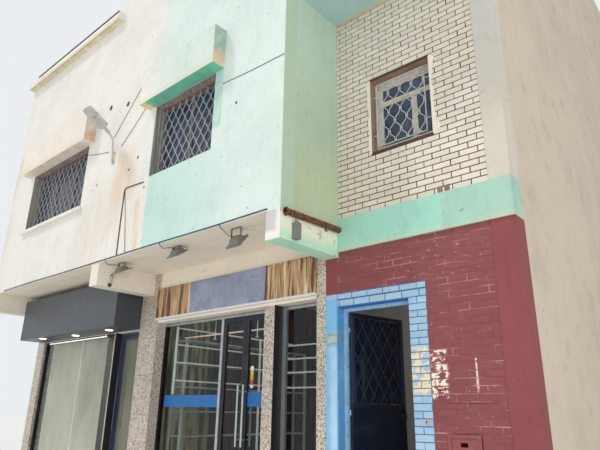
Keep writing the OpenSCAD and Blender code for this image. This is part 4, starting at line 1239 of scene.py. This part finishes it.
class SHOP_OT_entrance_tiles(Piece):
    """Lay the maroon and the blue tiles round the house entrance"""

    bl_idname = "shop.entrance_tiles"
    bl_label = "Entrance tiles"

    def make(self, scene, c, sizes):
        ground = high("ground_slab").z
        courses = 40 * 0.074
        cream, line = paint(236, 226, 206), dict(soft=0.002, wobble=0.02, scale=20.0)
        # Remains of paint beside the door, specks, and thin strokes of pale and of dark paint
        patches = [
            (cream, 1.0, 0.48,
             dict(x=(4.11, 4.30), z=(1.55, 2.03), soft=0.02, wobble=0.05, scale=11.0)),
            (cream, 0.85, 0.675, dict(x=(4.11, 4.9), z=(0.1, 2.3), soft=0.3, scale=16.0)),
            (paint(206, 160, 152), 0.45, 0.60,
             dict(x=(3.5, 4.9), z=(2.75, 3.2), soft=0.2, scale=13.0)),
            (paint(232, 218, 206), 0.9, 0.40,
             dict(x=(4.60, 4.618), z=(1.60, 1.92), soft=0.006, scale=20.0)),
            (paint(60, 34, 36), 0.9, 0.30, dict(x=(4.256, 4.791), z=(1.4925, 1.4995), **line)),
        ]
        maroon = tile_finish(
            "maroon_tile_paint", c.maroon, (0.84, 0.78, 0.78), patches, gloss=0.38, spread=0.09,
        )
        pier = low("entrance_pier").x - 0.002
        lo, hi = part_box("meter_hatch")
        hatch = (lo.x - 0.012, hi.x + 0.012, lo.z - 0.012, hi.z + 0.012)
        panels = [
            panel(CORNER_X, pier, TILES_FOOT, low("painted_band").z - 0.002),
            panel(4.118, pier, ground, TILES_FOOT, hatch),
        ]
        rise = TILES_FOOT - courses
        mesh = tiled(sizes, panels, maroon, rise, 2.96, seed=31, Joint=0.006, Proud=0.0025)
        mesh_piece("maroon_tiles", mesh)
        blue = blue_tile_finish("blue_tile_paint", c.blue_tile, c.blue)
        lo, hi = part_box("entrance_frame")
        upper = panel(2.749, BLUE_RIGHT, 2.699, 2.767)
        lower = panel(2.916, BLUE_RIGHT, hi.z + 0.010, 2.692)
        side = panel(hi.x + 0.002, BLUE_RIGHT, ground, 2.612)
        mesh_piece("blue_tiles", joined([
            tiled(sizes, [upper], blue, 2.696, 3.135 - 4 * 0.218, seed=51, Bond=0.0),
            tiled(sizes, [lower], blue, 2.610, 2.948, seed=53, Bond=0.0, Course=0.084),
            tiled(sizes, [side], blue, 2.608 - courses, 3.894, seed=55, Joint=0.007),
        ]))


class SHOP_OT_granite(Piece):
    """Clad the shop piers with granite slabs"""

    bl_idname = "shop.granite"
    bl_label = "Granite slabs"

    def make(self, scene, c, sizes):
        meshes = []
        for number, (node, course, start) in enumerate((
            ("left_pier", 0.62, -4.985), ("middle_pier", 0.60, None), ("slim_post", 0.60, None),
            ("right_pier", 0.60, None),
        )):
            lo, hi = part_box(node)
            left = start or lo.x
            slabs = panel(left, hi.x, lo.z, min(hi.z, SOFFIT_1) - 0.002)
            meshes.append(tiled(
                sizes, [slabs], LOOKS["granite"], lo.z, left, seed=70 + number,
                Length=hi.x - left + 0.003, Course=course, Joint=0.003, Proud=0.008, Bond=0.0,
                Uneven=0.0,
            ))
        mesh_piece("granite_slabs", joined(meshes))


# Grilles of the front windows: name, left, right, foot, top
FRONT_GRILLES = (
    ("wide_window_grille", -4.185, -1.949, 4.745, 5.960),
    ("narrow_window_grille", 0.143, 1.595, 4.745, 5.960),
    ("second_window_grille", 0.143, 1.595, 8.105, 9.080),
)
RIM = 0.012


class SHOP_OT_window_grilles(Piece):
    """Weld the diamond grilles into the front windows, each in its flat frame"""

    bl_idname = "shop.window_grilles"
    bl_label = "Window grilles"

    def make(self, scene, c, sizes):
        y = FRONT_Y + 0.140
        steel, dark = LOOKS["window_steel_paint"], LOOKS["dark_opening"]
        rust = metal_paint("rusty_rail", paint(150, 104, 84), paint(96, 66, 54), 0.7, wear=0.55)
        for name, left, right, foot, top in FRONT_GRILLES:
            wide, tall = right - left - 2 * RIM, top - foot
            bars, rows = round(wide / sizes.grille_half), round(tall / sizes.grille_step)
            pitch, step = wide / bars, (tall - 2 * RIM) / rows
            shape = Shape()
            for a, b in ((left + 0.002, left + RIM), (right - RIM, right - 0.002)):
                shape.box((a, y - 0.012, foot + 0.002), (b, y + 0.012, top - 0.002), steel, 0.003)
            for front, back, low_z, high_z, material, bevel in (
                (0.012, 0.012, foot + 0.014, foot + 0.028, steel, 0.003),
                (0.010, 0.030, foot + 0.001, foot + 0.013, dark, 0.002),
                (0.014, 0.014, top - 0.020, top - 0.002, rust, 0.003),
            ):
                start, end = (left + 0.002, y - front, low_z), (right - 0.002, y + back, high_z)
                shape.box(start, end, material, bevel)
            wavy_grille(
                name, shape, First=left + RIM + pitch / 2, Pitch=pitch, Foot=foot + RIM,
                Top=top - RIM, Knot_Top=top - RIM - step / 2, Knot_Step=step, Straight=step * 0.30,
                Wave=(pitch - sizes.grille_bar) / 2, Face=y, Bar=sizes.grille_bar, Plate=0.026,
                Plate_Height=0.020, Bars=bars, Rows=rows, Material=steel,
            )


class SHOP_OT_bay_grilles(Piece):
    """Set the wavy grilles before the bay windows on their stubs"""

    bl_idname = "shop.bay_grilles"
    bl_label = "Bay grilles"

    def make(self, scene, c, sizes):
        silver, worn = paint(188, 194, 192), paint(150, 134, 112)
        steel = metal_paint("bay_grille_paint", silver, worn, 0.55, wear=0.66, dust=0.1)
        storey = SOFFIT_2 - low("facade_right").z
        for name, y, lift in (
            ("bay_grille", SHOP_Y + 0.052, 0.0), ("second_bay_grille", FRONT_Y + 0.052, storey),
        ):
            left, right, foot, top = 3.541, 4.244, 4.579 + lift, 5.477 + lift
            shape = Shape()
            for a, b, low_z, high_z in (
                (left, left + RIM, foot, top), (right - RIM, right, foot, top),
                (left + RIM, right - RIM, foot, foot + RIM),
                (left + RIM, right - RIM, top - RIM, top),
            ):
                shape.box((a, y - 0.008, low_z), (b, y + 0.008, high_z), steel, 0.002)
            for z in (foot + 0.17, top - 0.17):
                for start, end in ((3.492, left + 0.002), (right - 0.002, 4.329)):
                    shape.rod((start, y, z), (end, y, z), 0.006, steel, 8)
            wavy_grille(
                name, shape, First=3.591, Pitch=0.085, Foot=foot, Top=top, Knot_Top=5.440 + lift,
                Knot_Step=0.1392, Straight=0.078, Wave=0.031, Face=y, Bar=sizes.scroll_bar,
                Plate=0.028, Plate_Height=0.016, Bars=8, Rows=7, Material=steel,
            )


class SHOP_OT_signs(Piece):
    """Trim the sign box's edges and hang the lamps and the tube rail under and behind it"""

    bl_idname = "shop.signs"
    bl_label = "Signs"

    def make(self, scene, c, sizes):
        lo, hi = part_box("sign_box")
        sheet, white = LOOKS["sign_box_sheet"], LOOKS["white_trim"]
        front, back, edge = lo.y - 0.003, lo.y + 0.002, 0.018
        trim = Shape()
        for z in (lo.z, hi.z - edge):
            trim.box((lo.x, front, z), (hi.x, back, z + edge), sheet, 0.002)
        for x in (lo.x, hi.x - edge):
            trim.box((x, front, lo.z + edge), (x + edge, back, hi.z - edge), sheet, 0.001)
        trim.done("sign_box_trim")
        lamps = Shape()
        glass = glow("lamp_diffuser", paint(255, 252, 244), 5.0)
        for x, y in ((-4.07, -4.41), (-3.03, -4.27), (-1.835, -4.28)):
            lamps.rod((x, y, lo.z - 0.010), (x, y, lo.z + 0.002), 0.075, white, 28)
            lamps.rod((x, y, lo.z - 0.013), (x, y, lo.z - 0.009), 0.062, glass, 28)
        lamps.done("sign_box_lamps")
        rail = Shape()
        y, z = -3.962, 2.655
        tube = glow("tube_light", paint(250, 250, 244), 0.8)
        rail.rod((-4.69, y, z), (-2.45, y, z), 0.010, tube, 12)
        for x in (-4.66, -3.57, -2.48):
            rail.box((x - 0.012, -3.972, z), (x + 0.012, -3.948, 2.6895), white, 0.002)
        rail.box((-3.341, -3.9415, 0.185), (-3.319, -3.9353, 2.630), white, 0.001)
        rail.done("window_tube")


# Bands of the tag on the right shop's door: foot, top, colour
TAG_BANDS = (
    (1.697, 1.735, (236, 234, 226)), (1.735, 1.800, (196, 72, 60)), (1.800, 1.862, (232, 146, 70)),
    (1.862, 1.940, (196, 206, 92)), (1.940, 1.987, (236, 234, 226)),
)


class SHOP_OT_shopfronts(Piece):
    """Add the film bands, the tag and what shows inside: lamps, hanging rails and wall rails"""

    bl_idname = "shop.shopfronts"
    bl_label = "Shopfronts"

    def make(self, scene, c, sizes):
        self.films()
        # Painted light: the rails, posts and lamp fittings inside glow a little, though they are no
        # lamps
        white = glow("rail_paint", paint(236, 234, 228), 0.22)
        self.rails(white)
        self.lamps(white)

    def films(self):
        blue = metal_paint(
            "blue_film", paint(22, 112, 184), paint(110, 160, 206), 0.4, dust=0.04, wear=0.76,
        )
        pane = Shape()
        front, back = SHOP_GLASS_Y - 0.0065, SHOP_GLASS_Y - 0.0052
        pane.box((-0.706, front, 1.438), (0.598, back, 1.611), blue)
        pane.done("window_film")
        leaf = Shape()
        lo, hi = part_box("pair_door_right_glass")
        front, back = lo.y - 0.0015, lo.y - 0.0002
        leaf.box((lo.x + 0.004, front, 1.451), (hi.x - 0.004, back, 1.645), blue)
        for foot, top, colour in TAG_BANDS:
            shade, name = paint(*colour), f"tag_print_{round(foot * 1000)}"
            print_look = metal_paint(name, shade, scaled(shade, 0.8), 0.5, wear=0.8, dust=0.05)
            leaf.box((1.250, front, foot), (1.310, back, top), print_look)
        leaf.done("door_film", "pair_right_leaf")

    def rails(self, white):
        # Painted light: the hanging rail glows a little, though it is no lamp
        glowing_peach = glow("hanging_rail", paint(250, 206, 178), 0.45)
        rails = Shape()
        y = -3.300
        rails.box((-0.969, y - 0.012, 2.574), (0.990, y + 0.012, 2.596), glowing_peach, 0.004)
        for x, drop, top in ((-0.164, 2.513, 2.656), (0.830, 2.480, 2.684)):
            rails.rod((x, y, drop), (x, y, SOFFIT_1 - 0.001), 0.005, white, 10)
            rails.rod((x, y, drop), (x, y, top), 0.009, white, 10)
            clamp = (x - 0.03, y - 0.008, drop - 0.012), (x + 0.03, y + 0.008, drop)
            rails.box(*clamp, white, 0.003)
        # Wall rails with their posts at the shelves' side, and a rack across the shop
        x = high("shop_shelves").x + 0.004
        for z in (2.68, 2.41, 2.13, 1.845):
            rails.box((x - 0.012, -3.74, z - 0.011), (x + 0.020, -0.9, z + 0.011), white, 0.004)
        for y, foot in ((-3.73, 1.63), (-2.70, 0.2), (-1.80, 0.2)):
            rails.box((x - 0.012, y - 0.014, foot), (x + 0.022, y + 0.014, 2.70), white, 0.004)
        for z in (2.40, 2.19, 1.98, 1.75):
            rails.box((0.70, -2.62, z - 0.011), (2.30, -2.60, z + 0.011), white, 0.004)
        for x in (0.72, 2.28):
            rails.box((x - 0.014, -2.625, 0.121), (x + 0.014, -2.595, 2.43), white, 0.004)
        rails.done("shop_rails")

    def lamps(self, white):
        lamps = Shape()
        disc = glow("ceiling_lamp", paint(255, 253, 246), 9.0)
        foot, top, slab = 3.40, 3.43, SOFFIT_1 - 0.001
        for x, y in ((0.15, -1.9), (2.05, -1.6), (0.35, 1.4), (2.05, 1.6)):
            lamps.rod((x, y, foot), (x, y, top), 0.17, disc, 32)
            lamps.rod((x, y, top), (x, y, top + 0.02), 0.18, white, 32)
            lamps.rod((x, y, top + 0.02), (x, y, slab), 0.012, white, 10)
        for x, y in ((-3.8, -2.0), (-2.2, -1.0), (-3.4, 1.6)):
            lamps.rod((x, y, foot), (x, y, top), 0.17, disc, 32)
            lamps.rod((x, y, top), (x, y, slab), 0.014, white, 10)
        lamps.done("shop_lamps")


class SHOP_OT_fittings(Piece):
    """Fit the plate, bell, the dark pane of painted shade behind the door's grille, round device,
    lamp lenses and the caps of the copings
    """

    bl_idname = "shop.fittings"
    bl_label = "Fittings"

    def make(self, scene, c, sizes):
        self.small_pieces(LOOKS["lamp_housing"])
        self.door_pane()
        self.upper_pieces()
        self.lenses()

    def small_pieces(self, grey):
        small = Shape()
        plate = metal_paint("number_plate", paint(176, 200, 196), paint(110, 120, 112), 0.5)
        small.box((2.764, SHOP_Y - 0.012, 2.177), (2.910, SHOP_Y - 0.001, 2.262), plate, 0.004)
        small.box((4.021, SHOP_Y - 0.030, 1.294), (4.079, SHOP_Y - 0.004, 1.340), grey, 0.006)
        button = (4.050, SHOP_Y - 0.034, 1.317), (4.050, SHOP_Y - 0.029, 1.317)
        small.rod(*button, 0.009, LOOKS["dark_opening"], 16)
        small.done("plate_and_bell")
        device = Shape()
        case = metal_paint("device_case", paint(58, 58, 60), paint(110, 104, 98), 0.4)
        x = -0.990
        device.ball((x, -4.854, 3.262), 0.036, case, 20)
        device.rod((x, -4.854, 3.275), (x, -4.842, 3.400), 0.024, grey, 20, 0.040)
        device.rod((x, -4.842, 3.400), (x, -4.836, 3.425), 0.020, case, 12)
        device.rod((x, -4.838, 3.420), (x, -4.656, 3.525), 0.012, grey, 12)
        device.rod((x, -4.656, 3.515), (x, -4.656, SOFFIT_1 - 0.0005), 0.020, grey, 16)
        device.done("round_device")

    def door_pane(self):
        """A dark pane behind the grille of the entrance door, the painted shade of the hall behind
        it, turned with it about its hinge.
        """
        pane = Shape()
        glass = pane_painted_in_shade("door_pane", paint(12, 20, 34))
        pane.box((0.039, -0.0125, 1.373), (0.844, -0.0085, 2.375), glass, 0.001)
        hinge = turned((2.9585, -3.824, 0.130), "Z", 78)
        pane.move(hinge @ Matrix.Translation((0.0025, -0.009, 0.0)))
        pane.done("door_pane", "entrance_leaf")

    def upper_pieces(self):
        upstand = Shape()
        front = NODES["facade_second"].data.materials[0]
        lo, hi = (0.1435, FRONT_Y + 0.0005, 7.8655), (1.5945, FRONT_Y + 0.165, 8.104)
        upstand.box(lo, hi, front, 0.002)
        upstand.done("second_window_upstand")
        caps = Shape()
        cap = concrete_finish("coping_cap", paint(46, 46, 58))
        roof = low("roof_coping").x
        for node, start in (("parapet_coping", -4.73), ("roof_coping", roof + 0.02)):
            lo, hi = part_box(node)
            ends = (start, lo.y - 0.004, hi.z - 0.045), (hi.x - 0.001, lo.y + 0.030, hi.z - 0.0005)
            caps.box(*ends, cap, 0.003)
        caps.done("coping_caps")

    def lenses(self):
        lenses = []
        glass = glow("flood_glass", paint(224, 224, 216), 0.10)
        for x, z, tilt in ((-0.696, 3.397, 26), (0.740, 3.402, 35), (2.006, 3.310, 51)):
            lens = Shape()
            lens.box((-0.108, 0.018, 0.004), (0.108, 0.199, 0.009), glass, 0.001)
            lens.move(turned((x, -4.930, z), "X", tilt))
            lenses.append(lens.mesh("lens"))
        mesh_piece("flood_lenses", joined(lenses))


class SHOP_OT_stage(Piece):
    """Set the pale floor, the soft lamps and the camera"""

    bl_idname = "shop.stage"
    bl_label = "Stage"

    def make(self, scene, c, sizes):
        scene.view_settings.view_transform = "Standard"
        mesh = bpy.data.meshes.new("stage_floor")
        reach = 90.0
        corners = ((-reach, -reach), (reach, -reach), (reach, reach), (-reach, reach))
        mesh.from_pydata([(x, y, -0.002) for x, y in corners], [], [(0, 1, 2, 3)])
        mesh.materials.append(Finish("stage_floor_paint", (0.78, 0.77, 0.75), 0.9).finish())
        floor = self.placed(scene, "stage_floor", mesh)
        self.sky(scene)
        self.lamps(scene)
        self.camera(scene)

    def placed(self, scene, name, data, place=(0.0, 0.0, 0.0), towards=None):
        made = bpy.data.objects.new(name, data)
        made.location = place
        if towards:
            made.rotation_euler = Vector(towards).to_track_quat("-Z", "Y").to_euler()
        scene.collection.objects.link(made)
        return made

    def sky(self, scene):
        """Pale light from all round; what is seen or mirrored of it is a little brighter."""
        scene.world = bpy.data.worlds.new("stage_world")
        scene.world.use_nodes = True
        scene.world.node_tree.nodes.clear()
        t = Tree(scene.world.node_tree)
        lit = t.get("ShaderNodeBackground", Color=(0.97, 0.985, 1.0), Strength=0.80)
        seen = t.get("ShaderNodeBackground", Color=(0.90, 0.93, 0.96), Strength=0.92)
        path = t.node("ShaderNodeLightPath").outputs
        either = Value(t, path["Is Camera Ray"])
        for ray in ("Is Glossy Ray", "Is Transmission Ray"):
            either = either.most(Value(t, path[ray]))
        both = t.row("ShaderNodeMixShader", {}, (either, lit, seen))
        t.node("ShaderNodeOutputWorld", Surface=both)

    def lamps(self, scene):
        sun = bpy.data.lights.new("stage_key", "SUN")
        sun.energy, sun.angle, sun.color = 1.2, math.radians(9), (1.0, 0.98, 0.95)
        self.placed(scene, "stage_key", sun, towards=(0.42, 0.40, -0.81))
        area = bpy.data.lights.new("stage_fill", "AREA")
        area.shape, area.size, area.size_y, area.energy = "RECTANGLE", 9.0, 5.0, 420.0
        place = Vector((13.0, -13.0, 2.6))
        self.placed(scene, "stage_fill", area, place, Vector((1.0, -4.0, 4.0)) - place)
        bulb = bpy.data.lights.new("stage_hall", "POINT")
        bulb.energy, bulb.shadow_soft_size, bulb.color = 17.0, 0.5, (0.92, 0.95, 1.0)
        self.placed(scene, "stage_hall", bulb, (4.2, -0.4, 2.6))

    def camera(self, scene):
        """The camera as solved from the photo's vanishing points."""
        camera = bpy.data.cameras.new("photo_view")
        camera.lens, camera.sensor_width = 32.51, 36.0
        camera.clip_start, camera.clip_end = 0.05, 400.0
        eye = self.placed(scene, "photo_view", camera)
        yaw, pitch, roll = (math.radians(a) for a in (41.4085, 18.9828, 0.8981))
        forward = Vector((-math.sin(yaw), math.cos(yaw), 0.0)) * math.cos(pitch)
        forward.z = math.sin(pitch)
        level = Vector((math.cos(yaw), math.sin(yaw), 0.0))
        upright = level.cross(forward)
        right = math.cos(roll) * level + math.sin(roll) * upright
        up = -math.sin(roll) * level + math.cos(roll) * upright
        turn = Matrix((right, up, -forward)).transposed()
        eye.matrix_world = Matrix.Translation((6.895, -9.226, 1.40)) @ turn.to_4x4()
        scene.camera = eye


class SHOP_PT_panel(bpy.types.Panel):
    """Lists the sizes, the colours and the operators in the sidebar."""

    bl_label = "Corner Shop"
    bl_idname = "SHOP_PT_panel"
    bl_space_type = "VIEW_3D"
    bl_region_type = "UI"
    bl_category = "Corner Shop"

    def draw(self, context):
        for group in (context.scene.shop_colours, context.scene.shop_sizes):
            box = self.layout.box()
            for name in group.__annotations__:
                box.prop(group, name)
        for operator in STEPS:
            self.layout.operator(operator.bl_idname)


STEPS = (
    SHOP_OT_finishes, SHOP_OT_bay_tiles, SHOP_OT_entrance_tiles, SHOP_OT_granite,
    SHOP_OT_window_grilles, SHOP_OT_bay_grilles, SHOP_OT_signs, SHOP_OT_shopfronts,
    SHOP_OT_fittings, SHOP_OT_stage,
)
CLASSES = (ShopColours, ShopSizes, *STEPS, SHOP_PT_panel)


def register():
    for made in CLASSES:
        bpy.utils.register_class(made)
    bpy.types.Scene.shop_colours = bpy.props.PointerProperty(type=ShopColours)
    bpy.types.Scene.shop_sizes = bpy.props.PointerProperty(type=ShopSizes)


def unregister():
    del bpy.types.Scene.shop_sizes
    del bpy.types.Scene.shop_colours
    for made in reversed(CLASSES):
        bpy.utils.unregister_class(made)


def main():
    register()
    for step in STEPS:
        group, name = step.bl_idname.split(".")
        getattr(getattr(bpy.ops, group), name)()


if __name__ == "__main__":
    main()
